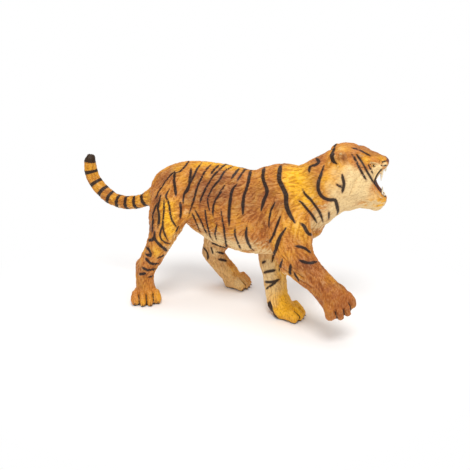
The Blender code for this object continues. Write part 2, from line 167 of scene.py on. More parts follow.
# Root, tip and radius on the head's left; u is forward, v to the left and w up
SOLID_TEETH = (
    ((12.4, 2.9, -0.6), (12.9, 3.0, -5.6), 0.85),
    ((10.2, 3.4, -1.6), (10.5, 3.4, -7.2), 0.85),
    ((12.6, 2.5, -14.4), (12.4, 2.6, -10.2), 0.85),
    ((13.2, 0.55, -0.8), (13.3, 0.55, -2.9), 0.5),
    ((13.2, 1.55, -0.8), (13.3, 1.55, -2.9), 0.5),
    ((13.2, 0.55, -14.2), (13.3, 0.55, -12.5), 0.45),
    ((13.2, 1.55, -14.2), (13.3, 1.55, -12.5), 0.45),
)
TEETH = (
    ((12.2, 2.9, 0.2), (12.1, 2.9, -5.0), 0.78),
    ((13.0, 2.5, -11.6), (12.9, 2.7, -8.5), 0.6),
    ((13.7, 0.55, 0.2), (13.8, 0.55, -1.3), 0.42),
    ((13.4, 1.5, 0.2), (13.5, 1.5, -1.4), 0.45),
    ((14.0, 0.5, -11.9), (14.1, 0.5, -10.6), 0.38),
    ((13.8, 1.4, -11.9), (13.9, 1.4, -10.5), 0.4),
    ((9.6, 3.9, -1.6), (9.5, 3.8, -3.2), 0.7),
)


def both_sides(teeth):
    """Each tooth in the head and again on the other side, placed in the model."""
    return [
        (*on_head((root, tip), side), radius)
        for root, tip, radius in teeth for side in SIDES
    ]


# Clay laid on the head before the skin is modelled: line on its left, mirrored to its right, and radius
LUMP_STEP = 0.6
HEAD_LUMPS = (
    (((11.6, 4.0, 0.4), (10.0, 4.5, -1.6), (8.7, 4.8, -4.6), (9.2, 4.6, -7.2), (10.4, 4.2, -9.4),
      (12.2, 3.4, -11.4), (13.0, 2.0, -12.3), (13.2, 0.0, -12.6)), 1.3),
    (((7.6, 5.2, -1.2), (6.6, 5.4, -4.6), (7.2, 5.2, -8.0), (8.6, 4.6, -10.8), (10.8, 3.6, -12.8),
      (12.0, 0.0, -13.6)), 1.8),
    (((5.0, 5.8, -2.4), (4.6, 5.8, -5.6), (5.4, 5.4, -9.4), (8.0, 4.0, -13.0)), 2.0),
    (((12.5, 1.0, 3.2), (12.5, 1.0, 1.5)), 1.9),
    (((12.8, 1.4, -13.4), (12.2, 1.3, -14.6), (10.6, 1.2, -15.2)), 2.3),
    (((-5.0, 8.0, 3.2), (-5.4, 8.0, 5.0), (-5.2, 7.4, 6.6)), 1.8),
    (((-3.4, 8.0, 3.8), (-3.6, 7.8, 6.0)), 1.3),
    (((-6.8, 7.8, 4.2), (-6.8, 7.4, 6.0)), 1.2),
    (((4.6, 5.2, 4.2), (7.6, 4.9, 3.9), (10.2, 3.6, 3.0)), 1.3),
    (((10.8, 2.8, 2.4), (9.4, 3.8, 0.6)), 1.6),
)


def toe_lumps():
    """Plump toes and the heel of the planted forepaw: line and radius in the model."""
    lumps = [(in_frame(FAR_FOREPAW, HEEL), HEEL_RADIUS)]
    for paw, width, sink, u, v in toes():
        line = ((u - 2.0, v * 0.92, 4.6 - sink), (u, v, 4.0 - sink), (u + 1.2, v * 1.03, 3.0 - sink))
        lumps.append((in_frame(paw, line), TOE_RADIUS * width))
    return lumps


def add_lumps(piece):
    """Joins balls of clay onto the solid, which the remesh merges into it."""
    lumps = toe_lumps()
    lumps += [(on_head(line, side), radius) for line, radius in HEAD_LUMPS for side in SIDES]
    balls = []
    for line, radius in lumps:
        for place in smooth_line(line, radius * LUMP_STEP):
            clear_selection()
            bpy.ops.mesh.primitive_ico_sphere_add(
                subdivisions=2, radius=radius * MM, location=Vector(place) * MM,
            )
            balls.append(bpy.context.active_object)
    return join_pieces([piece, *balls])


def srgb(red, green, blue):
    """A colour given as on screen, 0 to 255, as the linear one that Blender reads."""
    linear = []
    for value in (red, green, blue):
        share = value / 255
        linear.append(share / 12.92 if share <= 0.04045 else ((share + 0.055) / 1.055) ** 2.4)
    return (*linear, 1.0)


def length_property(name, description, default, smallest):
    return bpy.props.FloatProperty(
        name=name, description=description, default=default, min=smallest,
        subtype="DISTANCE", unit="LENGTH",
    )


class TigerSizes(bpy.types.PropertyGroup):
    skin_cell: length_property(
        "Skin cell", "Edge of the cells that the skin is first modelled in", 0.36 * MM, 0.2 * MM,
    )
    skin_triangles: bpy.props.IntProperty(
        name="Skin triangles", description="Triangles that the finished skin keeps",
        default=197000, min=20000, max=199000,
    )
    fur_depth: length_property(
        "Fur depth", "Height of the carved strands over their grooves", 0.55 * MM, 0.0,
    )
    eye_radius: length_property("Eye radius", "Radius of an eyeball", 0.95 * MM, 0.5 * MM)
    stage_radius: length_property("Floor radius", "Radius of the round floor", 1.6, 0.3)


def colour_property(name, description, red, green, blue):
    return bpy.props.FloatVectorProperty(
        name=name, description=description, default=srgb(red, green, blue), size=4,
        min=0.0, max=1.0, subtype="COLOR",
    )


class TigerPaints(bpy.types.PropertyGroup):
    orange: colour_property("Orange", "Main colour of the fur", 196, 122, 46)
    yellow: colour_property("Yellow", "Sprayed highlights", 246, 184, 28)
    brown: colour_property("Brown", "Sprayed shadows of the back and the rump", 126, 72, 46)
    cream: colour_property("Cream", "Belly, throat, cheeks and insides of the legs", 234, 203, 146)
    stripe: colour_property("Stripe", "Stripes, lips and pads", 20, 11, 10)
    gums: colour_property("Gums", "Inside of the mouth", 112, 66, 56)
    tongue: colour_property("Tongue", "Tongue", 176, 98, 92)
    tooth: colour_property("Tooth", "Teeth", 236, 226, 200)
    claw: colour_property("Claw", "Claws", 60, 46, 40)
    iris: colour_property("Iris", "Iris of the eyes", 206, 164, 84)


def add_object(name, data):
    piece = bpy.data.objects.new(name, data)
    bpy.context.scene.collection.objects.link(piece)
    return piece


def clear_selection():
    bpy.ops.object.select_all(action="DESELECT")


def activate(piece):
    clear_selection()
    piece.select_set(True)
    bpy.context.view_layer.objects.active = piece


def apply_modifier(piece, kind, name, **settings):
    modifier = piece.modifiers.new(name, kind)
    for key, value in settings.items():
        setattr(modifier, key, value)
    activate(piece)
    bpy.ops.object.modifier_apply(modifier=name)


def keep_piece(piece, name, material):
    """Names a finished piece, paints it and makes it ride on the model in place of the plain solid."""
    activate(piece)
    bpy.ops.object.transform_apply(location=True, rotation=True, scale=True)
    piece.name = name
    piece.data.name = name
    piece.data.materials.clear()
    piece.data.materials.append(material)
    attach(piece, "root")
    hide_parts("tiger")


def join_pieces(pieces):
    """Joins the pieces into the first of them."""
    activate(pieces[0])
    for piece in pieces[1:]:
        piece.select_set(True)
    if len(pieces) > 1:
        bpy.ops.object.join()
    return bpy.context.view_layer.objects.active


# Hairs are drawn out by this share. They turn from down to back between these two heights.
HAIR_STRETCH = 0.28
LEG_TOP = 34.0
TRUNK_BOTTOM = 42.0


class Amount:
    """A value that may change over the surface. Ordinary arithmetic on it adds Math nodes."""

    def __init__(self, paint, socket):
        self.paint = paint
        self.socket = socket

    def _math(self, operation, first, second=None):
        sockets = {0: first}
        if second is not None:
            sockets[1] = second
        return self.paint.add("ShaderNodeMath", {"operation": operation}, sockets)

    def __add__(self, other):
        return self._math("ADD", self, other)

    __radd__ = __add__

    def __sub__(self, other):
        return self._math("SUBTRACT", self, other)

    def __rsub__(self, other):
        return self._math("SUBTRACT", other, self)

    def __mul__(self, other):
        return self._math("MULTIPLY", self, other)

    __rmul__ = __mul__

    def at_least(self, other):
        return self._math("MAXIMUM", self, other)

    def at_most(self, other):
        return self._math("MINIMUM", self, other)


class Paint:
    """A painted finish under construction."""

    def __init__(self, name):
        self.material = bpy.data.materials.new(name)
        self.material.use_nodes = True
        self.tree = self.material.node_tree
        self.shader = self.tree.nodes["Principled BSDF"]

    def add(self, kind, settings=None, sockets=None, output=0):
        """Adds any node, sets it up, then gives its sockets values or links."""
        node = self.tree.nodes.new(kind)
        for key, value in (settings or {}).items():
            setattr(node, key, value)
        for key, value in (sockets or {}).items():
            self.feed(node.inputs[key], value)
        return Amount(self, node.outputs[output])

    def feed(self, socket, value):
        if isinstance(value, Amount):
            self.tree.links.new(value.socket, socket)
        else:
            socket.default_value = value

    def field(self, name):
        """A value stored on the mesh."""
        return self.add("ShaderNodeAttribute", {"attribute_name": name}, output="Fac")

    def grain(self, cells_per_mm, detail=3.0, roughness=0.5):
        """Noise between about 0.2 and 0.8 in the object's own coordinates."""
        place = self.add("ShaderNodeTexCoord", output="Object")
        return self.add(
            "ShaderNodeTexNoise", {},
            {"Vector": place, "Scale": cells_per_mm / MM, "Detail": detail, "Roughness": roughness},
        )

    def hairs(self, cells_per_mm):
        """Fine streaks between about 0.2 and 0.8 that run back along the trunk and down the legs."""
        place = self.add("ShaderNodeTexCoord", output="Object")
        height = self.add("ShaderNodeSeparateXYZ", {}, {0: place}, output="Z")
        streaks = []
        for stretch in ((HAIR_STRETCH, 1, 1), (1, 1, HAIR_STRETCH)):
            drawn = self.add("ShaderNodeVectorMath", {"operation": "MULTIPLY"}, {0: place, 1: stretch})
            streaks.append(self.add(
                "ShaderNodeTexNoise", {}, {"Vector": drawn, "Scale": cells_per_mm / MM, "Detail": 2.0},
            ))
        trunk = self.step(height, LEG_TOP * MM, TRUNK_BOTTOM * MM)
        return streaks[0] * trunk + streaks[1] * (1.0 - trunk)

    def step(self, value, low, high):
        """Rises smoothly from 0 where value is low to 1 where it is high."""
        return self.add(
            "ShaderNodeMapRange", {"interpolation_type": "SMOOTHSTEP"},
            {"Value": value, "From Min": low, "From Max": high},
        )

    def mix(self, share, first, second, blend="MIX"):
        """Second colour over the first, as far as share says."""
        return self.add(
            "ShaderNodeMix", {"data_type": "RGBA", "blend_type": blend},
            {0: share, 6: first, 7: second}, output=2,
        )

    def bump(self, height, depth, strength=1.0):
        return self.add(
            "ShaderNodeBump", {}, {"Height": height, "Distance": depth * MM, "Strength": strength},
        )

    def finish(self, colour, roughness, normal=None, coat=0.0, gloss=0.5):
        self.feed(self.shader.inputs["Base Color"], colour)
        self.shader.inputs["Specular IOR Level"].default_value = gloss
        self.feed(self.shader.inputs["Roughness"], roughness)
        self.shader.inputs["Coat Weight"].default_value = coat
        if normal:
            self.feed(self.shader.inputs["Normal"], normal)
        return self.material


# Lines drawn on the skin


def smooth_line(points, spacing):
    """Points about so far apart on a smooth curve through the given ones, as an array."""
    rows = [np.array(point, float) for point in points]
    if len(rows) == 2:
        rows = [rows[0], (rows[0] + rows[1]) / 2, rows[1]]
    rows = [2 * rows[0] - rows[1], *rows, 2 * rows[-1] - rows[-2]]
    found = []
    for a, b, c, d in zip(rows, rows[1:], rows[2:], rows[3:]):
        steps = max(int(np.linalg.norm(c - b) / spacing), 1)
        for k in range(steps):
            t = k / steps
            found.append(
                0.5 * (2 * b + (c - a) * t + (2 * a - 5 * b + 4 * c - d) * t**2
                       + (3 * b - 3 * c + d - a) * t**3)
            )
    found.append(rows[-2])
    return np.array(found)


def line_distance(points, line):
    """Distance of each point to a line of points, and its share of the way along it."""
    best = np.full(len(points), np.inf)
    along = np.zeros(len(points))
    lengths = np.linalg.norm(np.diff(line, axis=0), axis=1)
    total = max(lengths.sum(), 1e-6)
    start = 0.0
    for a, b, length in zip(line, line[1:], lengths):
        if length < 1e-6:
            continue
        way = (b - a) / length
        t = np.clip((points - a) @ way, 0, length)
        gap = np.linalg.norm(points - a - t[:, None] * way, axis=1)
        closer = gap < best
        best[closer] = gap[closer]
        along[closer] = (start + t[closer]) / total
        start += length
    return best, along


def as_array(line):
    return np.array([tuple(point) for point in line], float)


def near_line(points, line, reach):
    """Which points lie in the line's box with reach round it."""
    low = line.min(axis=0) - reach
    high = line.max(axis=0) + reach
    return np.flatnonzero(((points > low) & (points < high)).all(axis=1))


def in_head(point, side):
    """The same place on the head's right (-1) or left (1) half."""
    local = HEAD.inverted() @ point
    return HEAD @ Vector((local.x, abs(local.y) * side, local.z))


class Clay:
    """The skin's points and normals in millimetres, pushed about as with sculpting tools."""

    def __init__(self, piece):
        self.mesh = piece.data
        self.read()

    def read(self):
        self.points = self.fetch("co") / MM
        self.normals = self.fetch("normal")

    def fetch(self, name):
        values = np.empty(len(self.mesh.vertices) * 3, np.float32)
        self.mesh.vertices.foreach_get(name, values)
        return values.reshape(-1, 3).astype(float)

    def write(self):
        self.mesh.vertices.foreach_set("co", (self.points * MM).astype(np.float32).ravel())
        self.mesh.update()
        self.read()

    def skin_tree(self):
        faces = [tuple(face.vertices) for face in self.mesh.polygons]
        return BVHTree.FromPolygons([tuple(point) for point in self.points], faces)

    def push(self, line, radius, height):
        """Raises the skin round a line, or presses a groove where height is below zero."""
        line = smooth_line(as_array(line), radius / 2)
        found = near_line(self.points, line, radius)
        gap, along = line_distance(self.points[found], line)
        swell = np.clip(1 - (gap / radius) ** 2, 0, None) ** 2
        self.points[found] += self.normals[found] * (swell * height)[:, None]

    def store(self, name, values):
        field = self.mesh.attributes.get(name) or self.mesh.attributes.new(name, "FLOAT", "POINT")
        field.data.foreach_set("value", values.astype(np.float32))


# Sculpting of the skin

HEAD_CREASES = (
    # line on the head's left, mirrored to its right, radius and height
    (((5.7, 4.9, 4.8), (6.4, 4.6, 5.2)), 2.2, -0.5),
    (((7.4, 0.5, 6.6), (3.4, 0.9, 8.6)), 0.7, -0.35),
    (((7.8, 5.4, 1.9), (8.8, 5.2, 2.0)), 1.5, -0.8),
    (((7.0, 5.5, 0.9), (8.4, 5.3, 0.6), (9.6, 4.8, 1.2)), 0.8, 0.45),
    (((13.6, 1.5, 3.4), (12.6, 2.8, 2.6), (11.6, 3.6, 1.4)), 0.8, -0.5),
    (((12.2, 2.2, 4.6), (11.2, 3.6, 3.4), (10.6, 4.4, 1.2)), 0.7, -0.4),
    (((10.8, 4.6, 0.6), (9.6, 5.2, -1.6), (8.4, 5.6, -4.6)), 0.8, -0.5),
    (((9.0, 5.6, -7.4), (10.4, 5.0, -9.8), (12.4, 4.0, -12.0)), 0.7, -0.4),
    (((6.0, 6.4, 0.6), (2.0, 9.4, -4.0), (0.6, 10.4, -9.0)), 1.2, -0.45),
    (((-4.2, 9.8, 3.8), (-4.6, 9.6, 5.4), (-4.6, 9.0, 6.8)), 1.5, -1.2),
    (((-1.8, 8.6, 3.0), (-2.2, 8.6, 6.0), (-3.0, 8.0, 8.0)), 0.9, 0.5),
    (((-5.6, 9.4, 2.4), (-4.6, 9.6, 3.4)), 0.8, 0.5),
)
MIDDLE_CREASES = (
    (((15.2, 0.0, 2.0), (14.6, 0.0, -0.4)), 0.55, -0.45),
    (((11.0, 0.0, 5.4), (6.0, 0.0, 7.2)), 1.0, -0.2),
)
SOLID_CLAW_RADIUS = 0.75
SPIKE_MARGIN = 1.3
SPIKE_SINK = 0.6


def fold_spikes(clay):
    """Presses the solid's own teeth and claws flat, as finer ones stand in their places."""
    spikes = both_sides(SOLID_TEETH)
    spikes += [(root, tip, SOLID_CLAW_RADIUS) for root, tip in claw_lines()]
    for root, tip, radius in spikes:
        root, tip = np.array(root), np.array(tip)
        length = np.linalg.norm(tip - root)
        way = (tip - root) / length
        height = (clay.points - root) @ way
        sideways = clay.points - root - height[:, None] * way
        inside = np.linalg.norm(sideways, axis=1) < radius * SPIKE_MARGIN
        inside &= (height > -SPIKE_SINK) & (height < length + SPIKE_SINK)
        clay.points[inside] -= way * (height[inside] + SPIKE_SINK)[:, None]


LIP_LIFT = 1.5


def raise_lip(clay):
    """Lifts the front of the upper lip off the fangs, as in a snarl."""
    u, _, w = local_axes(HEAD, clay.points)
    share = rise(u, 9.0, 13.0) * rise(w, 2.5, -1.0) * (w > -5)
    clay.points[:, 2] += LIP_LIFT * share


def fine_weights(points):
    """1 at the head and the paws, 0 on the smooth rest."""
    centres = [(HEAD @ Vector((3.0, 0, -2.0)), 20.0)]
    centres += [(paw @ Vector((1.5, 0, 2.0 - sink)), 9.0) for paw, _, sink in PAWS]
    weights = np.zeros(len(points))
    for centre, reach in centres:
        share = np.clip((reach - distance(points, centre)) / 4 + 0.5, 0, 1)
        weights = np.maximum(weights, share)
    return weights


def add_group(piece, name, weights):
    """A vertex group with these weights, in tenths."""
    group = piece.vertex_groups.new(name=name)
    for level in range(1, 11):
        chosen = np.flatnonzero(np.round(weights * 10) == level)
        group.add(chosen.tolist(), level / 10, "REPLACE")


def on_surface(tree, line):
    """The line laid on the skin, in small steps."""
    return [tree.find_nearest(Vector(place))[0] for place in smooth_line(line, 0.5)]


def sculpt_head(clay, tree):
    for line, radius, height in HEAD_CREASES:
        for side in SIDES:
            clay.push(on_surface(tree, on_head(line, side)), radius, height)
    for line, radius, height in MIDDLE_CREASES:
        clay.push(on_surface(tree, in_frame(HEAD, line)), radius, height)


SLIT_REACH = 0.9
SLIT_DEPTH = 0.7
KNUCKLE_RADIUS = 1.5
KNUCKLE_HEIGHT = 0.5


def slit_gap(points):
    """Distance in millimetres from each point to the nearest cut between two toes."""
    nearest = np.full(len(points), np.inf)
    for paw, width, _ in PAWS:
        u, v, w = local_axes(paw, points)
        here = (np.abs(u) < 14) & (np.abs(w) < 9)
        for (across, ahead), (other, further) in zip(TOES, TOES[1:]):
            middle = (across + other) / 2 * TOE_SPREAD * width
            start = (ahead + further) / 2 * width
            gap = np.hypot(v - middle, 0.4 * np.minimum(u - start, 0))
            nearest = np.where(here, np.minimum(nearest, gap), nearest)
    return nearest


def sculpt_paws(clay, tree):
    """Cuts between the toes and a knuckle over each."""
    gap = slit_gap(clay.points)
    depth = SLIT_DEPTH * np.clip(1 - (gap / SLIT_REACH) ** 2, 0, 1) ** 2
    clay.points -= clay.normals * depth[:, None]
    for paw, _, sink, u, v in toes():
        knuckle = ((u - 0.6, v - 0.9, 7.0 - sink), (u - 0.4, v + 0.9, 7.0 - sink))
        clay.push(on_surface(tree, in_frame(paw, knuckle)), KNUCKLE_RADIUS, KNUCKLE_HEIGHT)


COMB_LINES = (
    # the way that the fur lies
    ((73, 8, 74), (66, 7, 77), (58, 5, 80), (50, 3, 75), (38, 0, 71), (20, 0, 69)),
    ((20, 0, 69), (0, 0, 66), (-20, 0, 68), (-33, 0, 60), (-40, 0, 50)),
    ((70, 0, 71), (62, -6, 66), (54, -8, 58), (46, -9, 52), (40, -9, 44)),
    ((70, 14, 71), (60, 15, 66), (52, 14, 58), (46, 10, 52), (40, 9, 44)),
    ((72, 8, 57), (62, 6, 54), (50, 4, 50), (42, 0, 40)),
    ((44, -8, 62), (34, -12, 56), (28, -12, 46), (24, -12, 34)),
    ((44, 10, 62), (34, 12, 56), (28, 12, 46), (22, 12, 34)),
    ((24, -12, 58), (8, -13, 50), (-8, -13, 47), (-20, -12, 46)),
    ((24, 12, 58), (8, 13, 50), (-8, 13, 47), (-20, 12, 46)),
    ((20, -6, 34), (0, -6, 30), (-16, -5, 38)),
    ((20, 6, 34), (0, 6, 30), (-16, 5, 38)),
    ((-16, -11, 62), (-24, -13, 50), (-26, -14, 36), (-31, -14, 22), (-34, -13, 8), (-32, -17, 2)),
    ((-16, 11, 62), (-14, 15, 46), (-10, 15, 32), (-12, 16, 20), (-5, 19, 8), (4, 19, 3)),
    ((36, -12, 52), (40, -16, 38), (48, -17, 30), (58, -19, 20), (64, -20, 12)),
    ((32, 11, 50), (27, 11, 34), (25, 5, 18), (30, -1, 8), (40, -3, 3)),
    ((-33, 0, 50), (-46, 0, 45), (-56, 0, 43), (-66, 0, 50), (-71, 0, 62), (-70, 0, 70)),
)


def combed(points, normals):
    """The way that the fur lies at each point, along the skin."""
    total = np.zeros_like(points)
    for line in COMB_LINES:
        for start, end in zip(line, line[1:]):
            start, end = np.array(start, float), np.array(end, float)
            gap = distance(points, (start + end) / 2)
            total += (end - start) / np.linalg.norm(end - start) / (gap[:, None] ** 4 + 1)
    total -= normals * (total * normals).sum(axis=1, keepdims=True)
    return total / (np.linalg.norm(total, axis=1, keepdims=True) + 1e-12)


LATTICE = 64


def lattice(points, cell, seed):
    """Smooth random values, about -1 to 1, drawn on a grid whose cells are so many millimetres wide."""
    values = np.random.default_rng(seed).uniform(-1, 1, (LATTICE, LATTICE, LATTICE))
    place = points / cell
    low = np.floor(place).astype(int)
    part = place - low
    part = part * part * (3 - 2 * part)
    total = np.zeros(len(points))
    for corner in itertools.product((0, 1), repeat=3):
        share = np.where(corner, part, 1 - part).prod(axis=1)
        i, j, k = ((low + corner) % LATTICE).T
        total += share * values[i, j, k]
    return total


STRAND_STEPS = 8
STRAND_CLUMP = 3.2
STRAND_WAVE = 0.8
# Width and length of the strands in millimetres, and seed
FINE_STRANDS = (0.50, 2.4, 3)
BROAD_STRANDS = (0.95, 4.6, 8)
FINE_SHARE = 0.85
BROAD_SHARE = 0.45


def strands(clay, flow, width, length, seed):
    """Streaks along the fur, about -1 to 1: noise averaged along wavy paths that follow the flow."""
    side = np.cross(clay.normals, flow)
    total = np.zeros(len(clay.points))
    for sense in SIDES:
        place = clay.points.copy()
        for k in range(STRAND_STEPS):
            total += (1 - k / STRAND_STEPS) * lattice(place, width, seed)
            bend = STRAND_WAVE * lattice(place, STRAND_CLUMP, seed + 1)[:, None]
            place += (flow * np.cos(bend) + side * np.sin(bend)) * (sense * length / STRAND_STEPS)
    return np.clip(total / (1.4 * total.std()), -1, 1)


def quiet_places():
    """Where the fur is flatter: place, reach, width of the fade and least share of its depth."""
    muzzle = (HEAD @ Vector((11.5, 0, -3.0)), 6.5, 5, 0.15)
    head = (HEAD @ Vector((3.0, 0, -3.0)), 12, 12, 0.55)
    return [muzzle, head] + [(paw @ Vector((3.0, 0, 2.0 - sink)), 4, 8, 0.3) for paw, _, sink in PAWS]


def carve_fur(clay, depth):
    """Carves the strands, deep on the trunk and the ruff and shallow on muzzle and paws."""
    flow = combed(clay.points, clay.normals)
    fine = strands(clay, flow, *FINE_STRANDS)
    broad = strands(clay, flow, *BROAD_STRANDS)
    comb = np.clip(FINE_SHARE * fine + BROAD_SHARE * broad, -1, 1)
    quiet = 1.0
    for place, reach, fade, least in quiet_places():
        share = np.clip((distance(clay.points, place) - reach) / fade, least, 1)
        quiet = np.minimum(quiet, share)
    clay.points += clay.normals * (comb * quiet * depth / 2)[:, None]
    clay.write()
    clay.store("comb", comb * quiet)


# Painting of the skin. A stripe is its width in millimetres, then the pixels that it passes.

FLANK_STRIPES = (
    (1.7, ((281, 163), (279, 178), (282, 186), (286, 195), (286, 203), (289, 213), (295, 223))),
    (1.4, ((264, 167), (263, 178), (267, 191), (264, 200), (261, 211))),
    (1.3, ((251, 168), (248, 184), (244, 196), (243, 205), (243, 216))),
    (1.3, ((237, 184), (232, 191), (230, 203), (229, 214), (229, 226))),
    (0.9, ((225, 185), (220, 193), (215, 201), (213, 209), (213, 217))),
    (0.9, ((221, 209), (222, 218), (224, 228), (225, 238), (227, 248))),
    (0.7, ((217, 223), (216, 229), (215, 235), (217, 241))),
    (0.8, ((205, 208), (206, 218), (208, 228), (210, 236), (213, 241))),
    (0.8, ((195, 210), (200, 219), (204, 228), (207, 235))),
    (0.7, ((192, 213), (196, 222), (200, 232))),
    (1.0, ((247, 226), (246, 235), (249, 245), (254, 251))),
    (0.8, ((235, 227), (235, 235), (238, 243), (241, 250))),
    (0.8, ((275, 202), (271, 211), (269, 222), (269, 229))),
    (0.8, ((189, 161), (183, 169), (177, 173))),
    (1.1, ((191, 168), (190, 178), (189, 186), (186, 194))),
    (0.8, ((203, 161), (197, 169), (194, 176), (189, 185), (184, 195), (183, 205))),
    (0.8, ((214, 162), (206, 170), (201, 179), (197, 188), (194, 199), (191, 208), (189, 214))),
    (1.0, ((221, 163), (214, 170), (211, 174))),
    (0.8, ((226, 164), (215, 174), (210, 181), (205, 190), (201, 199), (200, 208))),
    (0.8, ((235, 165), (225, 171), (220, 179), (214, 186), (209, 194))),
    (1.0, ((241, 166), (234, 175), (231, 179))),
    (0.8, ((247, 167), (241, 175), (237, 181))),
    (0.6, ((212, 190), (208, 197), (208, 204), (210, 212))),
    (1.4, ((286, 160), (285, 165))),
    (1.2, ((297, 163), (294, 168))),
)
NECK_STRIPES = (
    (1.2, ((324, 165), (322, 172), (319, 180), (318, 188), (320, 194), (324, 198), (330, 200),
           (335, 200), (337, 206), (338, 212), (336, 217))),
    (0.85, ((302, 188), (305, 194), (311, 200), (316, 207), (320, 213), (323, 222))),
    (0.85, ((298, 200), (302, 203), (307, 209), (312, 215), (317, 223))),
    (1.2, ((316, 158), (319, 162), (315, 165), (310, 167), (309, 173))),
    (0.6, ((329, 211), (329, 220))),
    (0.9, ((333, 152), (329, 156))),
)
HEAD_STRIPES = (
    (1.0, ((342, 174), (343, 179), (344, 184), (343, 189), (342, 193))),
    (0.7, ((336, 184), (339, 186), (342, 187))),
    (0.75, ((351, 153), (355, 159), (358, 165), (362, 173), (367, 181))),
    (0.7, ((355, 152), (359, 158), (363, 164), (368, 173), (375, 185))),
    (0.5, ((368, 164), (370, 168), (373, 174))),
    (0.7, ((351, 148), (357, 149), (362, 151), (367, 154), (371, 156))),
    (1.5, ((335, 147), (333, 152), (332, 158), (334, 162), (337, 164))),
)
HIND_STRIPES = (
    (0.8, ((175, 171), (168, 178), (163, 185), (158, 193), (155, 200))),
    (1.2, ((175, 172), (174, 180), (175, 188), (176, 196))),
    (0.7, ((170, 188), (167, 193), (166, 197), (169, 204), (170, 212), (172, 220), (177, 228))),
    (0.7, ((164, 199), (164, 210), (163, 220), (163, 228), (165, 235), (168, 241))),
    (1.1, ((161, 195), (158, 206), (159, 218), (158, 228))),
    (0.8, ((157, 203), (153, 214), (153, 222), (152, 233))),
    (1.0, ((180, 202), (181, 210), (180, 219))),
    (0.7, ((162, 226), (160, 236), (164, 242), (171, 244))),
    (1.3, ((155, 231), (154, 237), (157, 242), (161, 246), (167, 251))),
    (1.2, ((148, 240), (152, 240), (155, 236))),
    (1.2, ((146, 247), (150, 251), (150, 256), (145, 253))),
    (1.1, ((157, 258), (161, 257), (164, 255))),
    (1.3, ((145, 257), (149, 262), (153, 264), (159, 264))),
    (1.3, ((142, 267), (147, 270), (151, 270), (156, 269))),
    (1.2, ((139, 274), (143, 274), (146, 273))),
    (1.0, ((148, 277), (153, 276))),
    (0.8, ((176, 232), (179, 226))),
)
FORE_STRIPES = (
    (1.0, ((281, 215), (277, 226), (273, 236), (269, 243))),
    (1.5, ((286, 228), (280, 237), (277, 246), (274, 254), (272, 262))),
    (1.1, ((283, 258), (281, 264), (279, 271))),
    (1.2, ((291, 264), (290, 271), (290, 279))),
    (0.9, ((294, 272), (297, 278), (299, 282))),
    (0.9, ((295, 246), (301, 247), (306, 249), (311, 253))),
    (1.1, ((299, 260), (304, 262), (310, 263), (315, 262), (320, 261))),
    (1.2, ((300, 223), (304, 226), (306, 230), (309, 234), (312, 235))),
    (1.0, ((262, 263), (266, 261))),
    (1.1, ((261, 274), (266, 272), (271, 271), (276, 270))),
    (1.0, ((265, 282), (271, 282), (276, 281), (280, 279))),
    (0.9, ((277, 281), (272, 285), (266, 289))),
    (3.0, ((270, 302), (270, 307), (272, 312), (276, 317), (284, 321))),
)
FAR_HIND_STRIPES = (
    (0.9, ((201, 240), (206, 242))),
    (1.1, ((201, 245), (205, 249), (208, 255), (207, 262))),
    (1.1, ((211, 243), (218, 245), (227, 248))),
    (1.1, ((216, 252), (227, 254))),
    (1.1, ((218, 259), (227, 261))),
    (0.7, ((211, 247), (213, 254))),
)
STRIPE_EDGE = 0.12
# A stripe's ends widen at this slope from this share of its width, rounded off by the power
END_SLOPE = 5
END_SHARE = 0.15
END_POWER = 0.6
SEEN_STRIPES = (
    FLANK_STRIPES + NECK_STRIPES + HEAD_STRIPES + HIND_STRIPES + FORE_STRIPES + FAR_HIND_STRIPES
)
RUMP_STRIPES = HIND_STRIPES[:2]


class PhotoView:
    """Casts pixels of the photograph onto the skin."""

    def __init__(self, clay):
        self.tree = clay.skin_tree()

    def on_skin(self, x, y):
        across = (x - PHOTO_SIZE / 2) / PHOTO_FOCAL
        above = (PHOTO_SIZE / 2 - y) / PHOTO_FOCAL
        way = PHOTO_RIGHT * across + PHOTO_UP * above - PHOTO_BACK
        return self.tree.ray_cast(PHOTO_EYE, way.normalized())[0]

    def line(self, pixels):
        """The line on the skin that passes these pixels, in as many points as are hit."""
        seen = [self.on_skin(x, y) for x, y in smooth_line(pixels, 2.0)]
        return [point for point in seen if point]

    def mirrored(self, line):
        """The same line on the other flank."""
        return [self.tree.find_nearest(Vector((p.x, -p.y, p.z)))[0] for p in line]


TAIL_SPINE = (
    (-33, 0, 50), (-41, 0, 46), (-48, 0, 44), (-55, 0, 43.8), (-62, 0, 46.4), (-67.2, 0, 50.9),
    (-70.2, 0, 56.2), (-70.8, 0, 61.2), (-70.2, 0, 65.5), (-69.8, 0, 68.5),
)
TAIL_RINGS = (0.13, 0.225, 0.315, 0.405, 0.50, 0.59, 0.69, 0.80)
TAIL_TIP = 0.89
TAIL_RING_WIDTH = 1.8
TAIL_START = -36
TAIL_REACH = 5.5

# The mirrored stripes stop this near the middle, below this height
MIRROR_GAP = 4.5
MIRROR_TOP = 60

# Bars that the photograph doesn't show: spine, side, count, half length, and reach of the ray to the skin
BAR_WIDTH = 1.0
HIDDEN_BARS = (
    (((-14, 16, 44), (-8.5, 17, 34), (-11, 18, 22), (-4, 21, 8)), 1, 7, 6.5, 14),
    (((-24, 8, 64), (-31, 9, 60), (-36, 8, 50), (-36, 9, 42)), 1, 5, 5.5, 14),
    (((29, 14, 44), (25, 14, 34), (24, 10, 26), (27, 2, 14)), 1, 6, 5.5, 14),
    (((-22, -8, 38), (-28, -9, 28), (-33, -10, 16)), 1, 5, 4.0, 8),
    (((46, -10, 36), (54, -13, 26)), 1, 3, 4.0, 8),
)


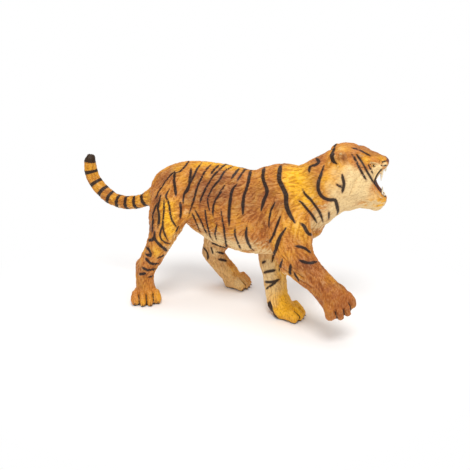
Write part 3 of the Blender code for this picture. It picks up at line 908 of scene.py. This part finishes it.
def bars(tree, spine, side, count, half_length, reach):
    """Slanting bars across a leg, of uneven slant and length, laid on the skin of the given side."""
    found = []
    spine = smooth_line(spine, 1.0)
    for k in range(count):
        middle = int((k + 0.5) / count * (len(spine) - 1))
        place = Vector(spine[middle])
        ahead = Vector(spine[min(middle + 1, len(spine) - 1)]) - place
        across = ahead.cross(Vector((0, side, 0))).normalized()
        lean = ahead.normalized() * (0.35 if k % 2 else 0.15)
        half = half_length * (1.0 if k % 3 else 0.7)
        line = []
        for t in np.linspace(-1, 1, 9):
            start = place + (across + lean * (t + 0.4 * t * t)) * half * t
            start.y += side * reach
            touch = tree.ray_cast(start, Vector((0, -side, 0)))[0]
            if touch:
                line.append(touch)
        if len(line) > 3:
            found.append(line)
    return found


def paint_line(field, points, line, width):
    """Raises the field to the depth inside a tapered stripe, which is below zero outside it."""
    line = as_array(line)
    found = near_line(points, line, width + 1.0)
    gap, along = line_distance(points[found], line)
    ends = np.minimum(along, 1 - along)
    half = (width / 2 + STRIPE_EDGE) * np.clip(ends * END_SLOPE + END_SHARE, 0, 1) ** END_POWER
    field[found] = np.maximum(field[found], half - gap)


def stripe_field(clay, view):
    """Depth inside the stripes, in millimetres, and below zero away from them."""
    field = np.full(len(clay.points), -1.0)
    stripes = [(width, view.line(pixels)) for width, pixels in SEEN_STRIPES]
    for width, pixels in FLANK_STRIPES + NECK_STRIPES + RUMP_STRIPES:
        line = view.mirrored(view.line(pixels))
        stripes.append((width, [p for p in line if abs(p.y) > MIRROR_GAP or p.z > MIRROR_TOP]))
    for width, pixels in HEAD_STRIPES:
        line = [in_head(point, 1) for point in view.line(pixels)]
        stripes.append((width, [view.tree.find_nearest(p)[0] for p in line]))
    for spine, side, count, half_length, reach in HIDDEN_BARS:
        for line in bars(view.tree, spine, side, count, half_length, reach):
            stripes.append((BAR_WIDTH, line))
    for width, line in stripes:
        if len(line) > 2:
            paint_line(field, clay.points, line, width)
    paint_tail(field, clay.points)
    return field


def paint_tail(field, points):
    """Rings round the tail, and its dark tip."""
    spine = smooth_line(TAIL_SPINE, 1.0)
    found = np.flatnonzero(points[:, 0] < TAIL_START)
    gap, along = line_distance(points[found], spine)
    length = np.linalg.norm(np.diff(spine, axis=0), axis=1).sum()
    depths = [TAIL_RING_WIDTH / 2 - np.abs(along - ring) * length for ring in TAIL_RINGS]
    depths.append(np.clip((along - TAIL_TIP) * length, -1, 2))
    for depth in depths:
        field[found] = np.where(gap < TAIL_REACH, np.maximum(field[found], depth), field[found])


# Pixel across and down, radius in millimetres and strength. The spots are sprayed on both flanks.
SPRAYS = {
    "tan": (
        (300, 240, 6, 0.5), (312, 262, 6, 0.8), (325, 282, 8, 1), (338, 300, 9, 1), (348, 308, 6, 0.8),
        (312, 184, 4.5, 0.5), (90, 165, 4, 0.4), (104, 190, 5, 0.5), (120, 200, 5, 0.5), (345, 158, 2, 0.6),
    ),
    "yellow": (
        (292, 172, 4.5, 1), (298, 180, 5, 1), (304, 190, 4.5, 0.8), (300, 202, 5, 0.7),
        (310, 198, 3.5, 0.6), (292, 186, 3.5, 0.5), (167, 206, 3.5, 1), (168, 218, 4, 1),
        (170, 230, 3.5, 1), (183, 178, 3, 0.3), (162, 240, 2.5, 0.7), (156, 252, 3, 0.7),
        (205, 164, 3, 0.8), (215, 164, 3, 0.8), (226, 166, 3, 0.8), (236, 168, 3, 0.7), (196, 165, 3, 0.7),
        (178, 168, 3, 0.5), (276, 268, 5, 0.6), (276, 285, 6, 1), (285, 280, 4, 0.8), (284, 300, 6, 1),
        (296, 312, 6, 1), (280, 312, 5, 1), (144, 304, 4, 0.4), (152, 311, 3, 0.6), (338, 170, 4, 0.6),
        (326, 180, 3.5, 0.6), (332, 190, 3, 0.5), (293, 178, 5, 0.9), (342, 150, 3, 0.5),
        (298, 226, 4, 0.7), (304, 238, 3.5, 0.5), (330, 280, 3, 0.3), (380, 204, 3, 0.7),
        (372, 204, 3, 0.5), (366, 160, 2, 0.6), (382, 159, 1.6, 0.5), (276, 245, 4, 0.4),
        (88, 160, 4, 0.55), (90, 172, 4, 0.55), (99, 186, 4, 0.55), (113, 197, 4, 0.5), (130, 201, 4, 0.6),
        (146, 198, 4, 0.5), (200, 250, 3, 0.3), (240, 285, 5, 0.5), (228, 272, 5, 0.4),
    ),
    "brown": (
        (164, 180, 4, 0.6), (158, 200, 3, 0.9), (155, 214, 3, 1), (151, 228, 3, 1), (172, 172, 3.5, 0.7),
        (222, 178, 4, 0.7), (212, 188, 5, 0.65), (200, 185, 4, 0.6), (190, 198, 3.5, 0.6),
        (205, 198, 4.5, 0.6), (225, 196, 4.5, 0.65), (236, 184, 4, 0.6), (256, 190, 4.5, 0.5),
        (252, 205, 5, 0.5), (272, 190, 4, 0.4), (280, 206, 4, 0.6), (264, 222, 4, 0.3), (238, 205, 4, 0.5),
        (195, 176, 3, 0.6), (300, 268, 4, 0.4), (318, 160, 3, 0.5), (344, 156, 1.5, 0.6),
        (307, 172, 3.5, 0.5), (312, 184, 4.5, 0.55), (314, 194, 2.5, 0.4), (368, 151, 2.5, 0.5),
        (346, 146, 1.6, 0.4), (384, 164, 1.4, 0.5), (376, 154, 2, 0.5), (382, 157, 1.6, 0.5),
        (358, 148, 2.5, 0.3), (148, 248, 2.5, 0.5), (141, 270, 3, 0.5), (140, 284, 3, 0.4),
        (286, 164, 2.5, 0.5), (340, 285, 2, 0.5), (250, 300, 2, 0.3),
    ),
    "cream": (
        (341, 150, 2.2, 0.35), (343, 157, 2, 0.5), (279, 284, 4.5, 0.35), (236, 240, 5, 0.4),
        (221, 235, 4, 0.4), (240, 284, 6, 0.5), (378, 168, 1.5, 0.6), (328, 184, 2.5, 0.4),
        (334, 172, 3, 0.5), (346, 182, 4, 0.5), (340, 190, 4, 0.3), (352, 184, 4, 0.5),
        (358, 176, 3.5, 0.5), (349, 168, 3.5, 0.5), (330, 192, 3, 0.4), (355, 190, 5, 0.9),
        (346, 204, 5, 1), (336, 196, 3, 0.5), (334, 208, 4, 0.8), (322, 220, 5, 0.8), (316, 212, 2, 0.6),
        (314, 226, 4, 0.7), (362, 182, 4, 0.9), (350, 176, 3.5, 0.5), (362, 196, 4, 0.8),
        (377, 168, 2.2, 1), (374, 174, 2.5, 1), (370, 178, 2.5, 0.9), (385, 164, 1.4, 0.9),
        (340, 158, 2.5, 0.5), (339, 148, 2, 0.3), (240, 247, 4, 0.8), (230, 243, 4, 0.9),
        (218, 240, 4, 0.9), (208, 236, 3.5, 0.8), (200, 226, 2.5, 0.7), (252, 248, 4, 0.8),
        (246, 240, 4, 0.4), (214, 252, 5, 0.8), (222, 262, 4, 0.6), (376, 196, 3, 0.5), (268, 266, 4, 0.8),
        (268, 278, 4, 0.7), (276, 290, 4, 0.4), (275, 304, 3, 0.4), (236, 282, 4, 0.4), (186, 212, 2, 0.5),
        (175, 236, 2, 0.6), (165, 247, 2, 0.5), (118, 207, 2.2, 0.7), (135, 209, 2.2, 0.7),
        (148, 205, 2, 0.6), (100, 195, 1.8, 0.5), (358, 160, 2, 0.4),
    ),
}
HEAD_BACK = -9.0
# Middle and radius of the brown painted shade in the hollow of each ear, in the head
EAR_HOLLOW = (-4.2, 9.6, 5.4)
EAR_HOLLOW_RADIUS = 1.9


def ear_hollow_shade(points):
    """1 in the hollow of each ear, where shade is painted in brown."""
    u, v, w = local_axes(HEAD, points)
    gap = distance(np.array((u, np.abs(v), w)).T, EAR_HOLLOW)
    return np.exp(-((gap / EAR_HOLLOW_RADIUS) ** 2))


def spray_fields(clay, view):
    """How much of each sprayed colour every point has, 0 to 1, with painted shade in the hollow of each ear
    added to the brown.
    """
    fields = {}
    for name, spots in SPRAYS.items():
        field = np.zeros(len(clay.points))
        for x, y, radius, strength in spots:
            spot = view.on_skin(x, y)
            if spot is None:
                continue
            if (HEAD.inverted() @ spot).x > HEAD_BACK:
                other = in_head(spot, 1)
            else:
                other = Vector((spot.x, -spot.y, spot.z))
            for centre in (spot, view.tree.find_nearest(other)[0]):
                gap = distance(clay.points, centre)
                field = 1 - (1 - field) * (1 - strength * np.exp(-((gap / radius) ** 2)))
        fields[name] = field
    # Painted shade in the hollow of each ear: brown, with no cream or yellow
    painted_ear_shade = ear_hollow_shade(clay.points)
    fields["brown"] = np.maximum(fields["brown"], painted_ear_shade)
    for name in ("cream", "yellow"):
        fields[name] *= 1 - painted_ear_shade
    return fields


def underside_field(clay):
    """1 on the belly, the throat and the insides of the legs."""
    x, y, z = clay.points.T
    _, aside, above = clay.normals.T
    facing_down = np.clip(-above * 1.6 - 0.35, 0, 1)
    trunk = rise(z, 46, 38) * rise(z, 24, 28)
    inward = np.clip(-aside * np.sign(y) * 1.5 - 0.1, 0, 1)
    legs = rise(z, 44, 36) * inward
    throat = rise(x, 34, 42) * np.clip(-above * 1.5 + 0.1, 0, 1)
    throat *= rise(z, 42, 46)
    return np.clip(facing_down * trunk + 0.55 * legs + throat, 0, 1)


DARK_LINES = (
    # lips, muzzle and rim of the eye: width in millimetres, then pixels
    (0.6, ((383, 168), (380, 171), (377, 175), (375, 180))),
    (1.2, ((376, 177), (375, 182), (377, 187), (380, 191), (382, 194), (386, 197))),
    (0.5, ((379, 161), (382, 162), (386, 161))),
    (0.5, ((380, 165), (383, 166), (387, 165))),
    (0.4, ((371, 163), (372, 166), (374, 167), (376, 166))),
)
NOSTRIL = ((14.9, 0.5, 2.6), (14.2, 1.5, 3.0), (13.6, 2.0, 3.6))
NOSTRIL_WIDTH = 0.5
# Height over the ground of the dark soles and their painted contact shadow, and reach from each cut between
# the toes of the painted shade in it
DARK_SOLE_AND_SHADOW = 0.7
SLIT_SHADE = 0.34


def dark_field(clay, view):
    """Depth inside the dark lines of the face and the nostrils, the dark soles with painted contact shadow
    along the ground, and the painted shade in the cuts between the toes.
    """
    field = np.full(len(clay.points), -1.0)
    for width, pixels in DARK_LINES:
        line = view.line(pixels)
        for side in SIDES:
            placed = [in_head(point, side) for point in line]
            paint_line(field, clay.points, [view.tree.find_nearest(p)[0] for p in placed], width)
    for side in SIDES:
        nostril = on_surface(view.tree, on_head(NOSTRIL, side))
        paint_line(field, clay.points, nostril, NOSTRIL_WIDTH)
    # Dark soles with painted contact shadow along the ground, and painted shade in the cuts between the
    # toes
    field = np.maximum(field, DARK_SOLE_AND_SHADOW - clay.points[:, 2])
    return np.maximum(field, SLIT_SHADE - slit_gap(clay.points))


# Colours multiplied into the fur: dark paint in its grooves together with painted shade there and in the
# low streaks of its hairs, and the tan of the raised foreleg
WASH_AND_SHADE = (0.44, 0.29, 0.20, 1.0)
TAN = (0.52, 0.36, 0.26, 1.0)

# Cells of the noises in a millimetre
SPECKLES_PER_MM = 1.1
HAIRS_PER_MM = 1.9
CLOUDS_PER_MM = 0.16

# How far each layer covers what is under it
CLOUD_COVER = 0.4
BROWN_COVER = 0.95
TAN_COVER = 0.80
GROOVE_COVER = 0.62
SHADE_COVER = 0.50
LIT_COVER = 0.12
RIDGE_COVER = 0.45
FRINGE_COVER = 0.42
STRIPE_COVER = 0.94
DARK_COVER = 0.95


def skin_paint(paints):
    """Sprayed fur with dark paint and painted shade in its grooves, dry-brushed paint and painted
    highlights on its ridges, painted shade and highlights along its fine hairs, then the stripes and the
    mouth.
    """
    paint = Paint("painted_fur")
    comb = paint.field("comb")
    speckle = paint.grain(SPECKLES_PER_MM, detail=4.0, roughness=0.62)
    hair = paint.hairs(HAIRS_PER_MM)
    cloud = paint.grain(CLOUDS_PER_MM)
    colour = paint.mix(paint.step(cloud, 0.42, 0.75) * CLOUD_COVER, paints.orange, paints.yellow)
    colour = paint.mix(paint.field("brown") * BROWN_COVER, colour, paints.brown)
    colour = paint.mix(paint.field("yellow"), colour, paints.yellow)
    tan = paint.mix(1.0, colour, TAN, blend="MULTIPLY")
    colour = paint.mix(paint.field("tan") * TAN_COVER, colour, tan)
    under = paint.field("cream").at_least(paint.field("under"))
    colour = paint.mix(paint.step(under + (speckle - 0.5) * 0.35, 0.2, 0.85), colour, paints.cream)
    # Dark paint settled in the carved grooves together with painted shade there, and below, painted shade
    # in the low streaks of the fine hairs
    grooves = paint.step(0.0 - comb + (speckle - 0.5) * 0.35, -0.05, 0.85)
    wash_and_shade = paint.mix(1.0, colour, WASH_AND_SHADE, blend="MULTIPLY")
    colour = paint.mix(grooves * (GROOVE_COVER - under * 0.25), colour, wash_and_shade)
    shade = paint.step(0.5 - hair, -0.02, 0.16)
    colour = paint.mix(shade * (SHADE_COVER - under * 0.20), colour, wash_and_shade)
    lit = paint.step(hair, 0.50, 0.70)
    colour = paint.mix(lit * LIT_COVER, colour, paints.cream)
    # Dry-brushed pale paint together with a painted highlight on the carved ridges
    ridges = paint.step(comb + (speckle - 0.5) * 0.3, 0.2, 1.0)
    dry_brush_and_highlight = paint.mix(0.26, colour, paints.cream)
    colour = paint.mix(ridges * RIDGE_COVER, colour, dry_brush_and_highlight)
    ragged = (speckle - 0.5) * 0.24 + comb * 0.06
    depth = paint.field("stripe") + ragged
    colour = paint.mix(paint.step(depth, -0.65, 0.1) * FRINGE_COVER, colour, paints.brown)
    colour = paint.mix(paint.step(depth, -0.14, 0.16) * STRIPE_COVER, colour, paints.stripe)
    # Dark lips, nostrils and soles, with painted contact shadow at the soles and painted shade between the
    # toes
    dark = paint.step(paint.field("dark") + ragged * 0.5, -0.1, 0.15)
    colour = paint.mix(dark * DARK_COVER, colour, paints.stripe)
    mouth = paint.step(paint.field("mouth"), 0.3, 0.7)
    colour = paint.mix(mouth, colour, paints.gums)
    roughness = 0.52 - ridges * 0.10 + grooves * 0.12 - mouth * 0.22
    height = comb * 0.4 + speckle * 0.5 + hair * 1.4
    return paint.finish(colour, roughness, paint.bump(height, 0.12, 0.7), gloss=0.3)


# Middle and half axes of the mouth's hollow, and how far forward it goes
MOUTH_MIDDLE = (7.6, 0.0, -7.0)
MOUTH_HALVES = (8.4, 4.6, 6.6)
MOUTH_FRONT = 14.2
NOSE_FRONT = 14.4
NOSE_HEIGHT = 3.8
NOSE_RADIUS = 1.9


def mouth_field(clay):
    """1 inside the open jaws and on the pad of the nose."""
    u, v, w = axes = local_axes(HEAD, clay.points)
    hollow = sum(
        ((axis - middle) / half) ** 2
        for axis, middle, half in zip(axes, MOUTH_MIDDLE, MOUTH_HALVES)
    )
    inside = np.clip((1.08 - hollow) * 4, 0, 1) * (u > 0) * (u < MOUTH_FRONT)
    nose = np.linalg.norm(np.array((u - NOSE_FRONT, v * 0.8, w - NOSE_HEIGHT)), axis=0)
    return np.maximum(inside, np.clip((NOSE_RADIUS - nose) / 0.7, 0, 1))


def copied_solid(name):
    """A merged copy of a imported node, as one closed mesh."""
    piece = add_object("skin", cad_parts[name].data.copy())
    activate(piece)
    bpy.ops.object.mode_set(mode="EDIT")
    bpy.ops.mesh.select_all(action="SELECT")
    bpy.ops.mesh.remove_doubles(threshold=1e-6)
    bpy.ops.object.mode_set(mode="OBJECT")
    return piece


# Rounds of smoothing, over the whole skin and then away from the head and the paws
SKIN_ROUNDS = 6
TRUNK_ROUNDS = 24


class TIGER_OT_skin(bpy.types.Operator):
    """Carve the fur, the folds and the face into a copy of the solid and paint its stripes"""

    bl_idname = "tiger.skin"
    bl_label = "Skin"

    def execute(self, context):
        sizes = context.scene.tiger_sizes
        piece = copied_solid("tiger")
        clay = Clay(piece)
        fold_spikes(clay)
        raise_lip(clay)
        clay.write()
        piece = add_lumps(piece)
        apply_modifier(piece, "REMESH", "skin", mode="VOXEL", voxel_size=sizes.skin_cell)
        add_group(piece, "smooth", 1 - fine_weights(Clay(piece).points))
        apply_modifier(piece, "SMOOTH", "all", factor=0.5, iterations=SKIN_ROUNDS)
        apply_modifier(piece, "SMOOTH", "trunk", factor=0.5, iterations=TRUNK_ROUNDS,
                       vertex_group="smooth")
        clay = Clay(piece)
        view = PhotoView(clay)
        sculpt_head(clay, view.tree)
        sculpt_paws(clay, view.tree)
        clay.write()
        carve_fur(clay, sizes.fur_depth / MM)
        share = sizes.skin_triangles / (2 * len(piece.data.polygons))
        apply_modifier(piece, "DECIMATE", "thin", ratio=min(share, 1.0),
                       use_collapse_triangulate=True)
        piece.vertex_groups.clear()
        clay = Clay(piece)
        view = PhotoView(clay)
        fields = {"stripe": stripe_field(clay, view), **spray_fields(clay, view)}
        fields["under"] = underside_field(clay)
        fields["dark"] = dark_field(clay, view)
        fields["mouth"] = mouth_field(clay)
        for name, values in fields.items():
            clay.store(name, values)
        activate(piece)
        bpy.ops.object.shade_smooth()
        keep_piece(piece, "fur_skin", skin_paint(context.scene.tiger_paints))
        return {"FINISHED"}


# A spike narrows by this share along its length, and past the last quarter it is this share wide
SPIKE_TAPER = 0.38
SPIKE_SHOULDER = 0.75
SPIKE_POINT = 0.12


def spike(root, tip, radius):
    """A slim round spike from root to tip in millimetres, thick at its root and blunt at its tip."""
    root, tip = Vector(root), Vector(tip)
    length = (tip - root).length
    clear_selection()
    bpy.ops.mesh.primitive_cylinder_add(vertices=16, radius=radius * MM, depth=length * MM)
    piece = bpy.context.active_object
    bpy.ops.object.mode_set(mode="EDIT")
    bpy.ops.mesh.select_all(action="SELECT")
    bpy.ops.mesh.bisect(plane_co=(0, 0, 0), plane_no=(0, 0, 1))
    bpy.ops.object.mode_set(mode="OBJECT")
    for point in piece.data.vertices:
        share = point.co.z / (length * MM) + 0.5
        taper = 1.0 - SPIKE_TAPER * share if share < SPIKE_SHOULDER else SPIKE_POINT
        point.co.x *= taper
        point.co.y *= taper
    apply_modifier(piece, "SUBSURF", "round", levels=2, render_levels=2)
    turn = (tip - root).to_track_quat("Z", "Y").to_matrix().to_4x4()
    piece.matrix_world = Matrix.Translation((root + tip) / 2 * MM) @ turn
    bpy.ops.object.transform_apply(location=True, rotation=True, scale=True)
    bpy.ops.object.shade_smooth()
    return piece


TOOTH_SEAT = 0.7
CLAW_RADIUS = 0.5
CLAW_SHARE = 0.88


class TIGER_OT_teeth(bpy.types.Operator):
    """Set the fangs and the small front teeth in the jaws"""

    bl_idname = "tiger.teeth"
    bl_label = "Teeth"

    def execute(self, context):
        teeth = []
        for root, tip, radius in both_sides(TEETH):
            root -= (tip - root).normalized() * TOOTH_SEAT
            teeth.append(spike(root, tip, radius))
        paint = Paint("painted_teeth")
        paints = context.scene.tiger_paints
        stain = paint.grain(1.4)
        colour = paint.mix(paint.step(stain, 0.45, 0.7) * 0.45, paints.tooth, paints.yellow)
        material = paint.finish(colour, 0.3 + stain * 0.15, paint.bump(stain, 0.04, 0.4), coat=0.3)
        keep_piece(join_pieces(teeth), "teeth", material)
        return {"FINISHED"}


class TIGER_OT_claws(bpy.types.Operator):
    """Set a short dark claw in the end of every toe"""

    bl_idname = "tiger.claws"
    bl_label = "Claws"

    def execute(self, context):
        claws = [spike(root, root.lerp(tip, CLAW_SHARE), CLAW_RADIUS) for root, tip in claw_lines()]
        paint = Paint("painted_claws")
        paints = context.scene.tiger_paints
        stain = paint.grain(1.6)
        colour = paint.mix(paint.step(stain, 0.4, 0.7), paints.claw, paints.brown)
        material = paint.finish(colour, 0.32 + stain * 0.2, paint.bump(stain, 0.04, 0.4), coat=0.2)
        keep_piece(join_pieces(claws), "claws", material)
        return {"FINISHED"}


EYE_PLACE = (8.4, 5.0, 2.0)
EYE_SINK = 0.5
# Edges of the iris, the pupil and the dark rim, 1 being the middle of the gaze
IRIS_EDGE = (0.62, 0.66)
PUPIL_EDGE = (0.90, 0.92)
RIM_START = (0.52, 0.60)
RIM_END = (0.66, 0.72)


def eye_place(skin, side, radius):
    """Middle of an eyeball, sunk a little into the skin beside the nose, and the way that it looks."""
    spot = on_head([EYE_PLACE], side)[0]
    _, place, normal, _ = skin.closest_point_on_mesh(spot * MM)
    return place - normal * radius * EYE_SINK, normal


class TIGER_OT_eyes(bpy.types.Operator):
    """Set the amber eyes under the brows"""

    bl_idname = "tiger.eyes"
    bl_label = "Eyes"

    def execute(self, context):
        sizes = context.scene.tiger_sizes
        paints = context.scene.tiger_paints
        balls = []
        skin = bpy.data.objects["fur_skin"]
        for side in SIDES:
            middle, outward = eye_place(skin, side, sizes.eye_radius)
            clear_selection()
            bpy.ops.mesh.primitive_uv_sphere_add(
                segments=32, ring_count=20, radius=sizes.eye_radius, location=middle,
            )
            ball = context.active_object
            gaze = (HEAD.to_3x3() @ Vector((0.5, 0.2 * side, 0.0)) + outward).normalized()
            ball.rotation_euler = gaze.to_track_quat("Z", "Y").to_euler()
            bpy.ops.object.transform_apply(location=True, rotation=True, scale=True)
            bpy.ops.object.shade_smooth()
            places = np.array([point.co for point in ball.data.vertices]) - np.array(middle)
            turn = places @ np.array(gaze) / sizes.eye_radius
            field = ball.data.attributes.new("gaze", "FLOAT", "POINT")
            field.data.foreach_set("value", turn.astype(np.float32))
            balls.append(ball)
        paint = Paint("painted_eyes")
        gaze = paint.field("gaze")
        colour = paint.mix(paint.step(gaze, *IRIS_EDGE), paints.cream, paints.iris)
        colour = paint.mix(paint.step(gaze, *PUPIL_EDGE), colour, paints.stripe)
        rim = paint.step(gaze, *RIM_START) * (1 - paint.step(gaze, *RIM_END))
        colour = paint.mix(rim, colour, paints.stripe)
        material = paint.finish(colour, 0.12 + gaze * 0.02, coat=0.6)
        keep_piece(join_pieces(balls), "eyes", material)
        return {"FINISHED"}


# The tongue's middle, half length, half width and half thickness, and the fall of its tip
TONGUE_MIDDLE = (7.6, 0.0, -11.6)
TONGUE_HALVES = (6.6, 3.6, 1.5)
TONGUE_FALL = 2.2
TONGUE_GROOVE = 0.32


class TIGER_OT_tongue(bpy.types.Operator):
    """Lay the grooved tongue on the floor of the mouth"""

    bl_idname = "tiger.tongue"
    bl_label = "Tongue"

    def execute(self, context):
        paints = context.scene.tiger_paints
        clear_selection()
        bpy.ops.mesh.primitive_cube_add(size=1.0)
        piece = context.active_object
        apply_modifier(piece, "SUBSURF", "round", levels=5, render_levels=5)
        for point in piece.data.vertices:
            u, v, w = (2.0 * value for value in point.co)
            groove = -TONGUE_GROOVE * math.exp(-((v / 0.22) ** 2)) if w > 0 else 0.0
            curl = 0.5 * (u - 0.1) ** 2
            forward = TONGUE_MIDDLE[0] + TONGUE_HALVES[0] * u
            left = TONGUE_HALVES[1] * v * (1 - 0.2 * u)
            up = TONGUE_MIDDLE[2] - TONGUE_FALL * u + TONGUE_HALVES[2] * w + groove + curl
            point.co = (HEAD @ Vector((forward, left, up))) * MM
        bpy.ops.object.shade_smooth()
        paint = Paint("painted_tongue")
        grain = paint.grain(2.2, detail=2.0)
        colour = paint.mix(paint.step(grain, 0.4, 0.65) * 0.6, paints.tongue, paints.gums)
        material = paint.finish(colour, 0.32 + grain * 0.15, paint.bump(grain, 0.1, 0.6), coat=0.3)
        keep_piece(piece, "tongue", material)
        return {"FINISHED"}


LAMPS = (
    # name, place in metres, power in watts, width in metres
    ("key", (0.20, -0.40, 0.70), 4.0, 0.36),
    ("top", (0.00, 0.10, 0.85), 1.6, 0.60),
)
LAMP_AIM = Vector((0, 0, 0.04))
SKY_COLOUR = (1.0, 0.99, 0.98, 1.0)
SKY_STRENGTH = 0.60
FLOOR_COLOUR = (0.94, 0.93, 0.925, 1.0)
# Distances in metres from the middle between which the floor fades into the backdrop
FLOOR_FADE = (0.04, 0.13)


def add_area_light(name, place, energy, size):
    lamp = add_object(name, bpy.data.lights.new(name, "AREA"))
    lamp.data.energy = energy
    lamp.data.size = size
    lamp.data.shape = "DISK"
    lamp.location = place
    lamp.rotation_euler = (LAMP_AIM - lamp.location).to_track_quat("-Z", "Y").to_euler()


def floor_paint():
    """Matt white near the figurine, and the plain white of the backdrop further out."""
    paint = Paint("floor")
    place = paint.add("ShaderNodeTexCoord", output="Object")
    reach = paint.add("ShaderNodeVectorMath", {"operation": "LENGTH"}, {0: place}, output="Value")
    seen = paint.add("ShaderNodeLightPath", output="Is Camera Ray")
    mirrored = paint.add("ShaderNodeLightPath", output="Is Glossy Ray")
    passed = paint.add("ShaderNodeLightPath", output="Is Transmission Ray")
    away = paint.step(reach, *FLOOR_FADE) * (seen + mirrored + passed).at_most(1.0)
    paint.shader.inputs["Base Color"].default_value = FLOOR_COLOUR
    paint.shader.inputs["Roughness"].default_value = 0.9
    paint.shader.inputs["Specular IOR Level"].default_value = 0.0
    white = paint.add("ShaderNodeEmission", {}, {"Color": (1, 1, 1, 1), "Strength": 1.0})
    blend = paint.tree.nodes.new("ShaderNodeMixShader")
    paint.feed(blend.inputs[0], away)
    paint.tree.links.new(paint.shader.outputs[0], blend.inputs[1])
    paint.tree.links.new(white.socket, blend.inputs[2])
    paint.tree.links.new(blend.outputs[0], paint.tree.nodes["Material Output"].inputs["Surface"])
    return paint.material


def light_world():
    """Even light from all round, in front of which the camera sees plain white."""
    world = bpy.data.worlds.new("studio")
    world.use_nodes = True
    bpy.context.scene.world = world
    tree = world.node_tree
    lit = tree.nodes["Background"]
    lit.inputs["Color"].default_value = SKY_COLOUR
    lit.inputs["Strength"].default_value = SKY_STRENGTH
    white = tree.nodes.new("ShaderNodeBackground")
    path = tree.nodes.new("ShaderNodeLightPath")
    blend = tree.nodes.new("ShaderNodeMixShader")
    white.inputs["Color"].default_value = (1.0, 1.0, 1.0, 1.0)
    tree.links.new(path.outputs["Is Camera Ray"], blend.inputs[0])
    tree.links.new(lit.outputs[0], blend.inputs[1])
    tree.links.new(white.outputs[0], blend.inputs[2])
    tree.links.new(blend.outputs[0], tree.nodes["World Output"].inputs["Surface"])


def add_camera():
    camera = add_object("photo_camera", bpy.data.cameras.new("photo_camera"))
    camera.data.sensor_width = SENSOR_WIDTH
    camera.data.lens = SENSOR_WIDTH * PHOTO_PIXELS_PER_MM * PHOTO_DISTANCE / PHOTO_SIZE
    camera.location = PHOTO_EYE * MM
    camera.rotation_euler = (-PHOTO_BACK).to_track_quat("-Z", "Y").to_euler()
    bpy.context.scene.camera = camera


class TIGER_OT_stage(bpy.types.Operator):
    """Set the pale floor, the soft studio light and the photograph's camera"""

    bl_idname = "tiger.stage"
    bl_label = "Stage"

    def execute(self, context):
        clear_selection()
        bpy.ops.mesh.primitive_circle_add(
            vertices=96, radius=context.scene.tiger_sizes.stage_radius, fill_type="NGON",
        )
        floor = context.active_object
        floor.name = "floor"
        floor.data.materials.append(floor_paint())
        light_world()
        for lamp in LAMPS:
            add_area_light(*lamp)
        add_camera()
        context.scene.view_settings.view_transform = "Standard"
        return {"FINISHED"}


class TIGER_PT_panel(bpy.types.Panel):
    """Sizes, colours and steps of the tiger"""

    bl_idname = "TIGER_PT_panel"
    bl_label = "Tiger figurine"
    bl_space_type = "VIEW_3D"
    bl_region_type = "UI"
    bl_category = "Tiger"

    def draw(self, context):
        for group in (context.scene.tiger_sizes, context.scene.tiger_paints):
            column = self.layout.column()
            for name in group.__annotations__:
                column.prop(group, name)
        for step in STEPS:
            self.layout.operator(step.bl_idname)


STEPS = (
    TIGER_OT_stage, TIGER_OT_skin, TIGER_OT_teeth, TIGER_OT_tongue, TIGER_OT_eyes, TIGER_OT_claws,
)
CLASSES = (TigerSizes, TigerPaints, *STEPS, TIGER_PT_panel)


def register():
    for part in CLASSES:
        bpy.utils.register_class(part)
    bpy.types.Scene.tiger_sizes = bpy.props.PointerProperty(type=TigerSizes)
    bpy.types.Scene.tiger_paints = bpy.props.PointerProperty(type=TigerPaints)


def unregister():
    del bpy.types.Scene.tiger_paints
    del bpy.types.Scene.tiger_sizes
    for part in reversed(CLASSES):
        bpy.utils.unregister_class(part)


def main():
    register()
    bpy.ops.tiger.stage()
    bpy.ops.tiger.skin()
    bpy.ops.tiger.teeth()
    bpy.ops.tiger.tongue()
    bpy.ops.tiger.eyes()
    bpy.ops.tiger.claws()


if __name__ == "__main__":
    main()
